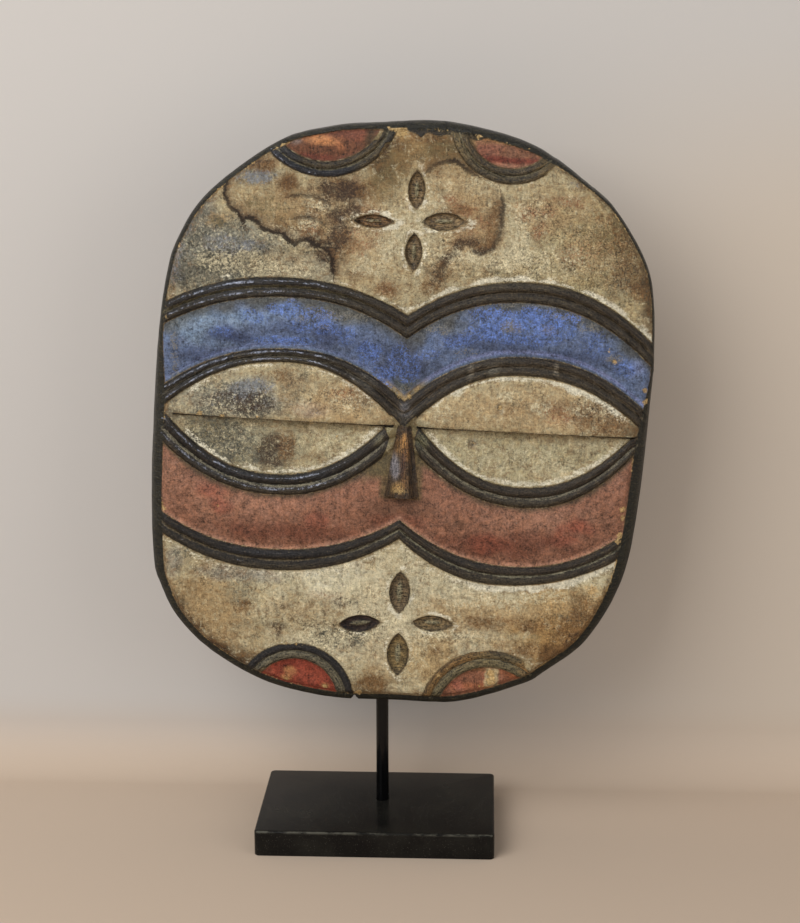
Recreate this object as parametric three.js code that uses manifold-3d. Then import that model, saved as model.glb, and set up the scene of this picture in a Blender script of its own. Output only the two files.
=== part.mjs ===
// Teke mask: a round, carved and painted wooden face on a rod that stands in a flat black base.
// Millimetres, +Z up. The face looks along -Y and +X is on the right of a viewer in front of it.
// The origin is the middle of the base's underside.

import * as THREE from "three";
import { mergeVertices } from "three/addons/utils/BufferGeometryUtils.js";
import Module from "manifold-3d";

const wasm = await Module();
wasm.setup();

// Base plate
const BASE_WIDTH = 160;
const BASE_DEPTH = 106;
const BASE_THICKNESS = 17.5;
const BASE_CORNER_RADIUS = 3.5;
const BASE_EDGE_ROUND = 1.2;
const BASE_CORNER_STEPS = 5;

// Rod, set in a socket in the base and in a blind hole in the mask's lower edge
const ROD_RADIUS = 4.25;
const ROD_X = 2.8;
const ROD_Y = 5.2;
const ROD_SIDES = 28;
const ROD_GAP = 0.3;
const SOCKET_DEPTH = 10;
const MASK_HOLE_TOP = 136;

// Mask placing: its own u and v axes lie in the face, turned a little clockwise from upright
const MASK_CENTRE_X = 18.7;
const MASK_CENTRE_Z = 296;
const MASK_LEAN_DEG = 2.3;
const FACE_Y = -12.8;
const BACK_Y = 12;

// Outline of the board in the plane of the face, clockwise from the top
const OUTLINE = [
  [20, 185], [64.5, 176.5], [89.5, 165], [109, 151.5], [129.5, 134.5], [149.5, 104.5], [157, 80],
  [160, 43], [160, 20], [157, -55.5], [149.5, -109.5], [128.5, -153], [102, -177], [86, -187.5],
  [43.5, -202], [0, -203.5], [-43, -203.5], [-87, -194.5], [-125, -174], [-148, -151.5],
  [-159.5, -129.5], [-164.5, -111], [-166.5, -62.5], [-165, -1], [-162.5, 40.5], [-157.5, 80.5],
  [-150, 105.5], [-131, 135], [-88.5, 168], [-55, 179], [-22, 183],
];

// Rim: the worn bevel between the face and the side of the board. It is widest beside the cheeks,
// and narrows towards the foot, and above the eyes to a width of its own on each side.
const RIM_WIDTH_CHEEK = 8;
const RIM_WIDTH_FOOT = 6.4;
const RIM_WIDTH_TOP = 4.8;
const RIM_LEFT = { upper: 3.2, topReach: [5, 35], turn: [-5, 55] };
const RIM_RIGHT = { upper: 2, topReach: [60, 115], turn: [-32, 40] };
const RIM_FOOT_TURN = [-150, -95];
const RIM_DEPTH = 6;
const RIM_SHOULDER = { across: 0.6, down: 0.25 };
const BACK_EDGE_ROUND = 2.5;

// Lines of the carving. Each is a pair of arches that meet at u = 0: where an arch crests,
// how high, and how high it is at the middle and at u = 150 on either side.
const ARCH_END_U = 150;
const ARCH_POWER = 2.2;
const LINES = {
  browTop: { middle: 62, left: { u: -80.5, v: 83, end: 67.4 }, right: { u: 75.5, v: 86.4, end: 57.2 } },
  browFoot: { middle: 46.8, left: { u: -76, v: 70.4, end: 53.5 }, right: { u: 73, v: 73.4, end: 42.8 } },
  lidTop: { middle: 5.5, left: { u: -76, v: 36.6, end: 14.5 }, right: { u: 77, v: 38.1, end: 10.8 } },
  lidFoot: { middle: -14.2, left: { u: -78, v: 27.9, end: 1.5 }, right: { u: 75, v: 26, end: -2.8 } },
  pouchTop: { middle: 2.8, left: { u: -83.6, v: -47.3, end: -16.5 }, right: { u: 78.5, v: -48.4, end: -10 } },
  pouchFoot: { middle: -19, left: { u: -82, v: -61, end: -36.4 }, right: { u: 81.5, v: -62, end: -24.5 } },
  jawTop: { middle: -74.2, left: { u: -84.4, v: -98.5, end: -81.6 }, right: { u: 77, v: -102.7, end: -75.4 } },
  jawFoot: { middle: -87, left: { u: -81.7, v: -112.8, end: -95.9 }, right: { u: 68.7, v: -115.6, end: -91.6 } },
};
const EYE_LINE_V = -10.3;
const EYE_LINE_SLOPE = -0.007;

// Relief, measured forward from the ground of the face
const CROWN = 2.5;
const EDGE_FALL = 1;
const EDGE_FALL_WIDTH = 5;
const RELIEF_FADE = 3.5;
const RIDGE_HEIGHT = 2.2;
const GROOVE_HEIGHT = 0.5;
const FOREHEAD_SWELL = 2.5;
const CHIN_SWELL = 3;
const SWELL_REACH = 22;
const BAND_SWELL = 3;
const BAND_LIP = 0.9;
const BAND_ROLL_END = 0.86;
const LID_OVERHANG = 5.5;
const LID_FULLNESS = 0.35;
const EYE_SINK = 3;
const SINK_FULLNESS = 0.6;
const EYE_LEFT = { u: -79, half: 73 };
const EYE_RIGHT = { u: 80, half: 72 };
const SLIT_DEPTH = 2.5;
const SLIT_HEIGHT = 1.4;

// Nose: a tapered prism that grows from between the eyes down to a flat end
const NOSE = { u: 0.8, topV: -7, footV: -57.5, topHalf: 4, footHalf: 11.5, ridge: 0.42, topRise: 2.6, footRise: 8 };

// Petals, four cut in the forehead and four in the chin: place, length, width and turn
const PETALS = [
  { u: 2.6, v: 142.5, length: 25, width: 11, turn: 90 },
  { u: 2.3, v: 103.3, length: 24.5, width: 11, turn: 90 },
  { u: 20.6, v: 123.1, length: 28, width: 11.5, turn: 2 },
  { u: -23.9, v: 121.6, length: 26.5, width: 8.5, turn: 0 },
  { u: 2, v: -123.4, length: 30, width: 14, turn: 90 },
  { u: 2.3, v: -166.6, length: 30.5, width: 14.5, turn: 90 },
  { u: -24, v: -146.5, length: 29.5, width: 12, turn: 7 },
  { u: 24.5, v: -143.9, length: 28, width: 11, turn: 0 },
];
const PETAL_DEPTH = 2.6;
const PETAL_FLOOR = 0.72;
const LEAF_LENGTH = 0.62;
const LEAF_WIDTH = 0.34;
const LEAF_RISE = 1.9;
const PETAL_STEPS = 6;

// Half-round motifs at the rim: part of a disc, with two ridges of the given width around a sunk
// field. The ridges and the field stop a little short of the rim.
const MOTIFS = [
  { u: -56.7, v: 197.2, radius: 49.3, ridge: 4.9 },
  { u: 61.3, v: 187.4, radius: 39.2, ridge: 4.9 },
  { u: -66, v: -202.1, radius: 39.7, ridge: 5.5 },
  { u: 64.1, v: -206.8, radius: 45.8, ridge: 5.9 },
];
const MOTIF_RIDGE_RISE = 1.4;
const MOTIF_RIDGE_ROOT = 4;
const MOTIF_FIELD_DEPTH = 1.5;
const MOTIF_RIDGE_REACH = 0.994;
const MOTIF_FIELD_REACH = 0.986;
const MOTIF_STEPS = 10;

// Small break in the lower rim, left of the rod
const NOTCH = { u: -26, v: -203, half: 2.2, rise: 3.6, depth: 10 };

// Mesh steps
const COLUMNS = 32;
const FOREHEAD_ROWS = 6;
const CHIN_ROWS = 5;
const PAIR_STEPS = [0, 0.12, 0.34, 0.5, 0.66, 0.88, 1];
const BAND_STEPS = [0, 0.12, 0.42, 0.74, 0.92, 1];
const EYE_STEPS = [0, 0.12, 0.4, 0.7, 1];
const MERGE_DISTANCE = 1e-3;

// How far cutters stand clear of what they cut, and how deep the nose is rooted in the board
const CUT_CLEAR = 8;
const NOSE_ROOT = 6;

function smooth(low, high, x) {
  const t = Math.min(Math.max((x - low) / (high - low), 0), 1);
  return t * t * (3 - 2 * t);
}

function mix(a, b, t) {
  return a + (b - a) * t;
}

// Solids from loose triangles

function toSolid(geometry) {
  const bare = geometry.clone();
  bare.deleteAttribute("normal");
  bare.deleteAttribute("uv");
  const merged = mergeVertices(bare, MERGE_DISTANCE);
  const triVerts = new Uint32Array(merged.index.array);
  const vertProperties = new Float32Array(merged.attributes.position.array);
  return new wasm.Manifold(new wasm.Mesh({ numProp: 3, vertProperties, triVerts }));
}

function toGeometry(solid) {
  const mesh = solid.getMesh();
  const geometry = new THREE.BufferGeometry();
  geometry.setAttribute("position", new THREE.BufferAttribute(new Float32Array(mesh.vertProperties), 3));
  geometry.setIndex(new THREE.BufferAttribute(new Uint32Array(mesh.triVerts), 1));
  geometry.computeVertexNormals();
  return geometry;
}

function trianglesToGeometry(points, triangles) {
  const kept = triangles.filter(([a, b, c]) => {
    const ab = points[b].clone().sub(points[a]);
    const ac = points[c].clone().sub(points[a]);
    const bc = points[c].clone().sub(points[b]);
    return Math.min(ab.length(), ac.length(), bc.length()) > MERGE_DISTANCE;
  });
  const geometry = new THREE.BufferGeometry().setFromPoints(points);
  geometry.setIndex(kept.flat());
  return geometry;
}

// Triangles that fill a loop, turned the same way round as the loop or the other way
function capTriangles(loop, offset, sameWay) {
  const loopArea = THREE.ShapeUtils.area(loop);
  return THREE.ShapeUtils.triangulateShape(loop, []).map(([a, b, c]) => {
    const alike = THREE.ShapeUtils.area([loop[a], loop[b], loop[c]]) * loopArea > 0;
    const corners = alike === sameWay ? [a, b, c] : [a, c, b];
    return corners.map((corner) => corner + offset);
  });
}

// A closed body from loops of equally many points. Seen from the first loop's end, the loops run
// clockwise, and the flat function gives the plane in which the two end caps are filled.
function loft(loops, flat) {
  const count = loops[0].length;
  const points = loops.flat();
  const triangles = [];
  for (let ring = 0; ring < loops.length - 1; ring += 1) {
    for (let i = 0; i < count; i += 1) {
      const a = ring * count + i;
      const b = ring * count + (i + 1) % count;
      triangles.push([a, b, b + count], [a, b + count, a + count]);
    }
  }
  triangles.push(...capTriangles(loops[0].map(flat), 0, false));
  triangles.push(...capTriangles(loops[loops.length - 1].map(flat), (loops.length - 1) * count, true));
  return trianglesToGeometry(points, triangles);
}

// A point on or before the face: u to the right, v up, height forward from the ground
function facePoint(u, v, height) {
  return new THREE.Vector3(u, FACE_Y - height, v);
}

function flatInFace(point) {
  return new THREE.Vector2(point.x, point.z);
}

function flatOnFloor(point) {
  return new THREE.Vector2(point.x, point.y);
}

// Rim of the board

const outlineCurve = new THREE.CatmullRomCurve3(
  OUTLINE.map(([u, v]) => new THREE.Vector3(u, v, 0)), true, "catmullrom", 0.5,
);

function rimWidth(u, v) {
  const side = u < 0 ? RIM_LEFT : RIM_RIGHT;
  const upper = mix(RIM_WIDTH_TOP, side.upper, smooth(...side.topReach, Math.abs(u)));
  const lower = mix(RIM_WIDTH_FOOT, RIM_WIDTH_CHEEK, smooth(...RIM_FOOT_TURN, v));
  return mix(lower, upper, smooth(...side.turn, v));
}

function rimAt(s) {
  const place = ((s % 1) + 1) % 1;
  const outer = outlineCurve.getPoint(place);
  const along = outlineCurve.getTangent(place);
  const width = rimWidth(outer.x, outer.y);
  const inner = outer.clone().add(new THREE.Vector3(along.y, -along.x, 0).multiplyScalar(width));
  return { outer, inner };
}

// The inner edge of the rim, sampled in steps and sorted by direction from the face's centre
const RIM_SAMPLES = 1440;
const rimSamples = Array.from({ length: RIM_SAMPLES }, (_, i) => {
  const place = i / RIM_SAMPLES;
  const { inner } = rimAt(place);
  return { place, angle: Math.atan2(inner.y, inner.x), radius: Math.hypot(inner.x, inner.y) };
}).sort((a, b) => a.angle - b.angle);

function rimSampleTowards(angle) {
  let low = 0;
  let high = RIM_SAMPLES - 1;
  while (high - low > 1) {
    const middle = (low + high) >> 1;
    if (rimSamples[middle].angle > angle) {
      high = middle;
    } else {
      low = middle;
    }
  }
  return rimSamples[low];
}

function rimPlaceAtAngle(degrees) {
  return rimSampleTowards(THREE.MathUtils.degToRad(degrees)).place;
}

function rimRadiusTowards(u, v) {
  return rimSampleTowards(Math.atan2(v, u)).radius;
}

// The four corners of the face, by their direction from its centre
const TOP_RIGHT = rimPlaceAtAngle(46);
const BOTTOM_RIGHT = rimPlaceAtAngle(-50);
const BOTTOM_LEFT = rimPlaceAtAngle(-131);
const TOP_LEFT = rimPlaceAtAngle(134);

// Lines of the carving

function eyeLine(u) {
  return EYE_LINE_V + EYE_LINE_SLOPE * u;
}

function arch(line, u) {
  const side = u < 0 ? line.left : line.right;
  const inward = Math.abs(u) < Math.abs(side.u);
  const end = inward ? line.middle : side.end;
  const span = inward ? Math.abs(side.u) : ARCH_END_U - Math.abs(side.u);
  const away = Math.abs(u - side.u) / span;
  return side.v + (end - side.v) * away ** ARCH_POWER;
}

const lineAt = {
  browTop: (u) => arch(LINES.browTop, u),
  browFoot: (u) => arch(LINES.browFoot, u),
  lidTop: (u) => arch(LINES.lidTop, u),
  lidFoot: (u) => Math.max(arch(LINES.lidFoot, u), eyeLine(u)),
  eye: eyeLine,
  slitFoot: (u) => eyeLine(u) - SLIT_HEIGHT,
  pouchTop: (u) => Math.min(arch(LINES.pouchTop, u), eyeLine(u) - SLIT_HEIGHT),
  pouchFoot: (u) => arch(LINES.pouchFoot, u),
  jawTop: (u) => arch(LINES.jawTop, u),
  jawFoot: (u) => arch(LINES.jawFoot, u),
};

function rimPlaceOnLine(line, from, to) {
  let above = from;
  let below = to;
  for (let i = 0; i < 40; i += 1) {
    const middle = (above + below) / 2;
    const { inner } = rimAt(middle);
    if (inner.y > line(inner.x)) {
      above = middle;
    } else {
      below = middle;
    }
  }
  return (above + below) / 2;
}

function lineEnds(name) {
  const line = lineAt[name];
  return {
    left: rimPlaceOnLine(line, TOP_LEFT, BOTTOM_LEFT),
    right: rimPlaceOnLine(line, TOP_RIGHT, BOTTOM_RIGHT),
  };
}

// Relief: each function gives the height forward of the ground at a fraction f across its zone

function ridgePair(f) {
  const ridge = (x) => Math.sin(Math.PI * Math.min(Math.max(x, 0), 1)) ** 0.6;
  const groove = GROOVE_HEIGHT * (1 - Math.abs(2 * f - 1));
  return Math.max(RIDGE_HEIGHT * ridge(f / 0.5), RIDGE_HEIGHT * ridge((f - 0.5) / 0.5), groove);
}

function rolledBand(f) {
  const roll = BAND_SWELL * Math.sin(Math.PI * Math.min(f / BAND_ROLL_END, 1) ** 0.8);
  const lip = BAND_LIP * Math.sin(Math.PI * smooth(BAND_ROLL_END, 1, f));
  return roll - lip;
}

// How far the eye stands open at u: 1 at its middle and 0 at its corners. A low fullness keeps
// it open almost to the corners.
function eyeOpening(u, fullness) {
  const eye = u < 0 ? EYE_LEFT : EYE_RIGHT;
  const away = Math.min(Math.abs(u - eye.u) / eye.half, 1);
  return (1 - away ** 2) ** fullness;
}

function lidRelief(f, u) {
  return LID_OVERHANG * eyeOpening(u, LID_FULLNESS) * (1 - (1 - f) ** 1.8);
}

function lowerEyeRelief(f, u) {
  return -EYE_SINK * eyeOpening(u, SINK_FULLNESS) * (1 - f) ** 1.4;
}

const relief = {
  forehead: (f, u, v) => FOREHEAD_SWELL * smooth(0, SWELL_REACH, v - lineAt.browTop(u)),
  pair: (f) => ridgePair(f),
  band: (f) => rolledBand(f),
  lid: (f, u) => lidRelief(f, u),
  slit: (f, u) => lowerEyeRelief(0, u) - SLIT_DEPTH * eyeOpening(u, SINK_FULLNESS),
  lowerEye: (f, u) => lowerEyeRelief(f, u),
  chin: (f, u, v) => CHIN_SWELL * smooth(0, SWELL_REACH, lineAt.jawFoot(u) - v),
};

function groundHeight(u, v) {
  const reach = rimRadiusTowards(u, v);
  const radius = Math.hypot(u, v);
  const edge = reach - radius;
  const fall = EDGE_FALL * Math.max(1 - edge / EDGE_FALL_WIDTH, 0) ** 2;
  return -CROWN * (radius / reach) ** 2 - fall;
}

function reliefFade(u, v) {
  return smooth(0, RELIEF_FADE, rimRadiusTowards(u, v) - Math.hypot(u, v));
}

// Face: rows run from the top of the rim to its foot, and every line of the carving is a row

function columnFraction(column) {
  const half = COLUMNS / 2;
  const x = column <= half ? column / half : (COLUMNS - column) / half;
  const eased = x - 0.5 * Math.sin(2 * Math.PI * x) / (2 * Math.PI);
  return column <= half ? eased / 2 : 1 - eased / 2;
}

function pointOnLine(name, ends, column) {
  const t = columnFraction(column);
  const left = rimAt(ends.left).inner.x;
  const right = rimAt(ends.right).inner.x;
  const u = t < 0.5 ? mix(left, 0, 2 * t) : mix(0, right, 2 * t - 1);
  return { u, v: lineAt[name](u) };
}

// One row between two lines, f of the way from the upper one to the lower one
function rowBetween(upper, lower, f, zone) {
  const upperEnds = lineEnds(upper);
  const lowerEnds = lineEnds(lower);
  const left = mix(upperEnds.left, lowerEnds.left, f);
  const right = mix(upperEnds.right, lowerEnds.right, f);
  const row = [];
  for (let column = 0; column <= COLUMNS; column += 1) {
    const a = pointOnLine(upper, upperEnds, column);
    const b = pointOnLine(lower, lowerEnds, column);
    const point = { u: mix(a.u, b.u, f), v: mix(a.v, b.v, f), zone, f };
    if (column === 0 || column === COLUMNS) {
      point.place = column === 0 ? left : right;
      const { inner } = rimAt(point.place);
      point.u = inner.x;
      point.v = inner.y;
    }
    row.push(point);
  }
  return row;
}

// Rows between a line and the rim beyond it, blended from the four sides of that field. The far
// side runs along the rim from farLeft to rimRight, which may pass the outline's start.
function rowsToRim(name, rimLeft, rimRight, farLeft, rows, zone) {
  const ends = lineEnds(name);
  const nearLeft = rimAt(ends.left).inner;
  const nearRight = rimAt(ends.right).inner;
  const cornerLeft = rimAt(rimLeft).inner;
  const cornerRight = rimAt(rimRight).inner;
  const result = [];
  for (let step = 1; step <= rows; step += 1) {
    const f = step / rows;
    const leftPlace = mix(ends.left, rimLeft, f);
    const rightPlace = mix(ends.right, rimRight, f);
    const left = rimAt(leftPlace).inner;
    const right = rimAt(rightPlace).inner;
    const row = [];
    for (let column = 0; column <= COLUMNS; column += 1) {
      const t = columnFraction(column);
      const farPlace = mix(farLeft, rimRight, t);
      const near = pointOnLine(name, ends, column);
      const far = rimAt(farPlace).inner;
      const corners = (axis) => mix(
        mix(nearLeft[axis], cornerLeft[axis], f), mix(nearRight[axis], cornerRight[axis], f), t,
      );
      const u = mix(left.x, right.x, t) + mix(near.u, far.x, f) - corners("x");
      const v = mix(left.y, right.y, t) + mix(near.v, far.y, f) - corners("y");
      const point = { u, v, zone, f };
      if (column === 0) {
        point.place = leftPlace;
      } else if (column === COLUMNS) {
        point.place = rightPlace;
      } else if (step === rows) {
        point.place = farPlace;
      }
      row.push(point);
    }
    result.push(row);
  }
  return result;
}

function faceRows() {
  const rows = rowsToRim("browTop", TOP_LEFT, TOP_RIGHT, TOP_LEFT - 1, FOREHEAD_ROWS, "forehead").reverse();
  const add = (upper, lower, steps, zone) => {
    for (const f of steps) {
      rows.push(rowBetween(upper, lower, f, zone));
    }
  };
  add("browTop", "browFoot", PAIR_STEPS, "pair");
  add("browFoot", "lidTop", BAND_STEPS.slice(1), "band");
  add("lidTop", "lidFoot", PAIR_STEPS.slice(1), "pair");
  add("lidFoot", "eye", EYE_STEPS.slice(1), "lid");
  add("eye", "slitFoot", [0], "slit");
  add("slitFoot", "pouchTop", EYE_STEPS, "lowerEye");
  add("pouchTop", "pouchFoot", PAIR_STEPS.slice(1), "pair");
  add("pouchFoot", "jawTop", BAND_STEPS.slice(1), "band");
  add("jawTop", "jawFoot", PAIR_STEPS.slice(1), "pair");
  rows.push(...rowsToRim("jawFoot", BOTTOM_LEFT, BOTTOM_RIGHT, BOTTOM_LEFT, CHIN_ROWS, "chin"));
  return rows;
}

// Points on the rim are exactly on its inner edge and carry no relief
function placeOnFace(point) {
  if (point.place !== undefined) {
    const { inner } = rimAt(point.place);
    return facePoint(inner.x, inner.y, -CROWN - EDGE_FALL);
  }
  return facePoint(point.u, point.v, surfaceHeight(point));
}

function surfaceHeight({ u, v, zone, f }) {
  return groundHeight(u, v) + relief[zone](f, u, v) * reliefFade(u, v);
}

// The rim's places in order, clockwise from the top left
function rimPlaces(rows) {
  const last = rows.length - 1;
  const around = [
    ...rows[0],
    ...rows.slice(1, last).map((row) => row[COLUMNS]),
    ...rows[last].slice().reverse(),
    ...rows.slice(1, last).map((row) => row[0]).reverse(),
  ];
  const spaced = around.map((point) => ({ place: point.place, at: placeOnFace(point) }));
  return spaced.filter((point, i) => point.at.distanceTo(spaced.at(i - 1).at) > MERGE_DISTANCE);
}

function rimLoops(places) {
  const loops = [[], [], [], [], []];
  for (const { place, at } of places) {
    const { outer, inner } = rimAt(place);
    const edge = -CROWN - EDGE_FALL;
    const depth = RIM_DEPTH * Math.sqrt(inner.distanceTo(outer) / RIM_WIDTH_FOOT);
    const shoulder = inner.clone().lerp(outer, RIM_SHOULDER.across);
    const back = outer.clone().multiplyScalar(1 - BACK_EDGE_ROUND / outer.length());
    loops[0].push(at);
    loops[1].push(facePoint(shoulder.x, shoulder.y, edge - depth * RIM_SHOULDER.down));
    loops[2].push(facePoint(outer.x, outer.y, edge - depth));
    loops[3].push(new THREE.Vector3(outer.x, BACK_Y - BACK_EDGE_ROUND, outer.y));
    loops[4].push(new THREE.Vector3(back.x, BACK_Y, back.y));
  }
  return loops;
}

function carvedBoard(rows, loops) {
  const points = rows.flat().map(placeOnFace);
  const width = COLUMNS + 1;
  const triangles = [];
  for (let row = 0; row < rows.length - 1; row += 1) {
    for (let column = 0; column < COLUMNS; column += 1) {
      const a = row * width + column;
      triangles.push([a, a + width, a + width + 1], [a, a + width + 1, a + 1]);
    }
  }
  const count = loops[0].length;
  for (let ring = 0; ring < loops.length; ring += 1) {
    const start = points.length;
    points.push(...loops[ring]);
    if (ring > 0) {
      for (let i = 0; i < count; i += 1) {
        const next = (i + 1) % count;
        const before = start - count;
        triangles.push([before + i, before + next, start + next], [before + i, start + next, start + i]);
      }
    }
  }
  triangles.push(...capTriangles(loops.at(-1).map(flatInFace), points.length - count, true));
  return toSolid(trianglesToGeometry(points, triangles));
}

// Height of the forehead or chin field at a place on it
function fieldHeight(u, v) {
  const reach = rimRadiusTowards(u, v) / Math.max(Math.hypot(u, v), 1);
  const shrink = Math.min(reach, 1);
  return surfaceHeight({ u: u * shrink, v: v * shrink, zone: v > 0 ? "forehead" : "chin", f: 0 });
}

// Petals

function lensOutline(length, width, steps) {
  const radius = (length ** 2 + width ** 2) / (4 * width);
  const halfWidth = (x) => Math.sqrt(radius ** 2 - x ** 2) - radius + width / 2;
  const outline = [];
  for (let i = 0; i < 2 * steps; i += 1) {
    const x = length / 2 * Math.cos(Math.PI * i / steps);
    outline.push(new THREE.Vector2(x, i < steps ? -halfWidth(x) : halfWidth(x)));
  }
  return outline;
}

function lensLoop(petal, lengthScale, widthScale, height) {
  const turn = THREE.MathUtils.degToRad(petal.turn);
  const middle = new THREE.Vector2(petal.u, petal.v);
  return lensOutline(petal.length, petal.width, PETAL_STEPS).map((corner) => {
    corner.multiply(new THREE.Vector2(lengthScale, widthScale)).rotateAround(new THREE.Vector2(), turn);
    corner.add(middle);
    return facePoint(corner.x, corner.y, height);
  });
}

function cutPetal(board, petal) {
  const surface = fieldHeight(petal.u, petal.v);
  const floor = surface - PETAL_DEPTH;
  const hollow = toSolid(loft([
    lensLoop(petal, 1, 1, surface + CUT_CLEAR),
    lensLoop(petal, 1, 1, surface - 0.3),
    lensLoop(petal, PETAL_FLOOR, PETAL_FLOOR, floor),
  ], flatInFace));
  const leaf = toSolid(loft([
    lensLoop(petal, LEAF_LENGTH * 0.8, LEAF_WIDTH * 0.3, floor + LEAF_RISE),
    lensLoop(petal, LEAF_LENGTH, LEAF_WIDTH, floor),
    lensLoop(petal, LEAF_LENGTH, LEAF_WIDTH, floor - 1),
  ], flatInFace));
  return board.subtract(hollow).add(leaf);
}

// Half-round motifs

function discLoop(motif, radius, heightAt) {
  const sides = 4 * MOTIF_STEPS;
  return Array.from({ length: sides }, (_, i) => {
    const angle = -2 * Math.PI * i / sides;
    const u = motif.u + radius * Math.cos(angle);
    const v = motif.v + radius * Math.sin(angle);
    return facePoint(u, v, heightAt(u, v));
  });
}

function motifRidge(motif, radius) {
  const half = motif.ridge / 2;
  const ring = (offset, rise) => discLoop(motif, radius + offset, (u, v) => fieldHeight(u, v) + rise);
  const outside = toSolid(loft([
    ring(half * 0.4, MOTIF_RIDGE_RISE), ring(half, 0.1), ring(half, -MOTIF_RIDGE_ROOT),
  ], flatInFace));
  const inside = toSolid(loft([
    ring(-half * 0.4, CUT_CLEAR), ring(-half * 0.4, MOTIF_RIDGE_RISE), ring(-half, 0.1), ring(-half, -CUT_CLEAR),
  ], flatInFace));
  return outside.subtract(inside);
}

function facePrism(places, scale) {
  const loop = (height) => places.map(({ at }) => facePoint(at.x * scale, at.z * scale, height));
  return toSolid(loft([loop(CUT_CLEAR * 4), loop(-CUT_CLEAR * 4)], flatInFace));
}

function carveMotif(board, motif, ridgePrism, fieldPrism) {
  const outerRidge = motifRidge(motif, motif.radius - motif.ridge / 2);
  const innerRidge = motifRidge(motif, motif.radius - motif.ridge * 1.5);
  const fieldRadius = motif.radius - motif.ridge * 2;
  const field = toSolid(loft([
    discLoop(motif, fieldRadius, () => CUT_CLEAR),
    discLoop(motif, fieldRadius, (u, v) => fieldHeight(u, v) - MOTIF_FIELD_DEPTH),
  ], flatInFace));
  const ridges = outerRidge.add(innerRidge).intersect(ridgePrism);
  return board.add(ridges).subtract(field.intersect(fieldPrism));
}

// Nose

function noseLoop(v, half, rise) {
  const ground = groundHeight(NOSE.u, v);
  const corner = (u, height) => facePoint(NOSE.u + u, v, ground + height);
  return [
    corner(half, -NOSE_ROOT), corner(half, 0), corner(half * NOSE.ridge, rise),
    corner(-half * NOSE.ridge, rise), corner(-half, 0), corner(-half, -NOSE_ROOT),
  ];
}

function nose() {
  return toSolid(loft([
    noseLoop(NOSE.topV, NOSE.topHalf, NOSE.topRise),
    noseLoop(NOSE.footV, NOSE.footHalf, NOSE.footRise),
  ], flatOnFloor));
}

function notchCutter() {
  const loop = (height) => [
    facePoint(NOTCH.u - NOTCH.half, NOTCH.v - 3, height),
    facePoint(NOTCH.u, NOTCH.v + NOTCH.rise, height),
    facePoint(NOTCH.u + NOTCH.half, NOTCH.v - 3, height),
  ];
  return toSolid(loft([loop(CUT_CLEAR), loop(-NOTCH.depth)], flatInFace));
}

// Upright round bar between two heights
function bar(radius, bottom, top) {
  const geometry = new THREE.CylinderGeometry(radius, radius, top - bottom, ROD_SIDES);
  geometry.rotateX(Math.PI / 2);
  geometry.translate(ROD_X, ROD_Y, (bottom + top) / 2);
  return geometry;
}

function baseLoop(inset, z) {
  const halfWidth = BASE_WIDTH / 2 - inset;
  const halfDepth = BASE_DEPTH / 2 - inset;
  const radius = BASE_CORNER_RADIUS - inset;
  const corners = [[1, 1], [1, -1], [-1, -1], [-1, 1]];
  return corners.flatMap(([sideX, sideY], corner) => {
    const steps = Array.from({ length: BASE_CORNER_STEPS + 1 }, (_, i) => i / BASE_CORNER_STEPS);
    return steps.map((step) => {
      const angle = Math.PI / 2 * (1 - corner - step);
      const x = sideX * (halfWidth - radius) + radius * Math.cos(angle);
      const y = sideY * (halfDepth - radius) + radius * Math.sin(angle);
      return new THREE.Vector3(x, y, z);
    });
  });
}

// The three pieces

function makeMask(group) {
  const rows = faceRows();
  const places = rimPlaces(rows);
  let board = carvedBoard(rows, rimLoops(places));
  board = board.add(nose());
  for (const petal of PETALS) {
    board = cutPetal(board, petal);
  }
  const ridgePrism = facePrism(places, MOTIF_RIDGE_REACH);
  const fieldPrism = facePrism(places, MOTIF_FIELD_REACH);
  for (const motif of MOTIFS) {
    board = carveMotif(board, motif, ridgePrism, fieldPrism);
  }
  board = board.subtract(notchCutter());
  group.updateMatrixWorld();
  const hole = bar(ROD_RADIUS + ROD_GAP, 0, MASK_HOLE_TOP).applyMatrix4(group.matrixWorld.clone().invert());
  return toGeometry(board.subtract(toSolid(hole)));
}

function makeBase() {
  const plate = toSolid(loft([
    baseLoop(BASE_EDGE_ROUND, BASE_THICKNESS),
    baseLoop(BASE_EDGE_ROUND * 0.3, BASE_THICKNESS - BASE_EDGE_ROUND * 0.3),
    baseLoop(0, BASE_THICKNESS - BASE_EDGE_ROUND),
    baseLoop(0, 0),
  ], flatOnFloor));
  const socket = bar(ROD_RADIUS + ROD_GAP, BASE_THICKNESS - SOCKET_DEPTH, BASE_THICKNESS + CUT_CLEAR);
  return toGeometry(plate.subtract(toSolid(socket)));
}

function named(name, geometry, color, roughness, metalness) {
  const mesh = new THREE.Mesh(geometry, new THREE.MeshStandardMaterial({ color, roughness, metalness }));
  mesh.name = name;
  return mesh;
}

const maskGroup = new THREE.Group();
maskGroup.position.set(MASK_CENTRE_X, 0, MASK_CENTRE_Z);
maskGroup.rotation.y = THREE.MathUtils.degToRad(MASK_LEAN_DEG);
maskGroup.add(named("mask", makeMask(maskGroup), 0xb8a37a, 0.75, 0));

const rodBottom = BASE_THICKNESS - SOCKET_DEPTH + ROD_GAP;
const rodGeometry = bar(ROD_RADIUS, rodBottom, MASK_HOLE_TOP - ROD_GAP);

const part = new THREE.Group();
part.add(named("base", makeBase(), 0x161616, 0.4, 0));
part.add(named("rod", rodGeometry, 0x0b0b0b, 0.2, 0.3));
part.add(maskGroup);

export default part;
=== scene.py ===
"""The looks of a round Teke mask on its stand: the carved and painted board, the rod and the base.

Sizes in the carving are millimetres in the plane of the face: u to the viewer's right, v up and
height forward. The finished meshes are in metres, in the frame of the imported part.
"""

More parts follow.
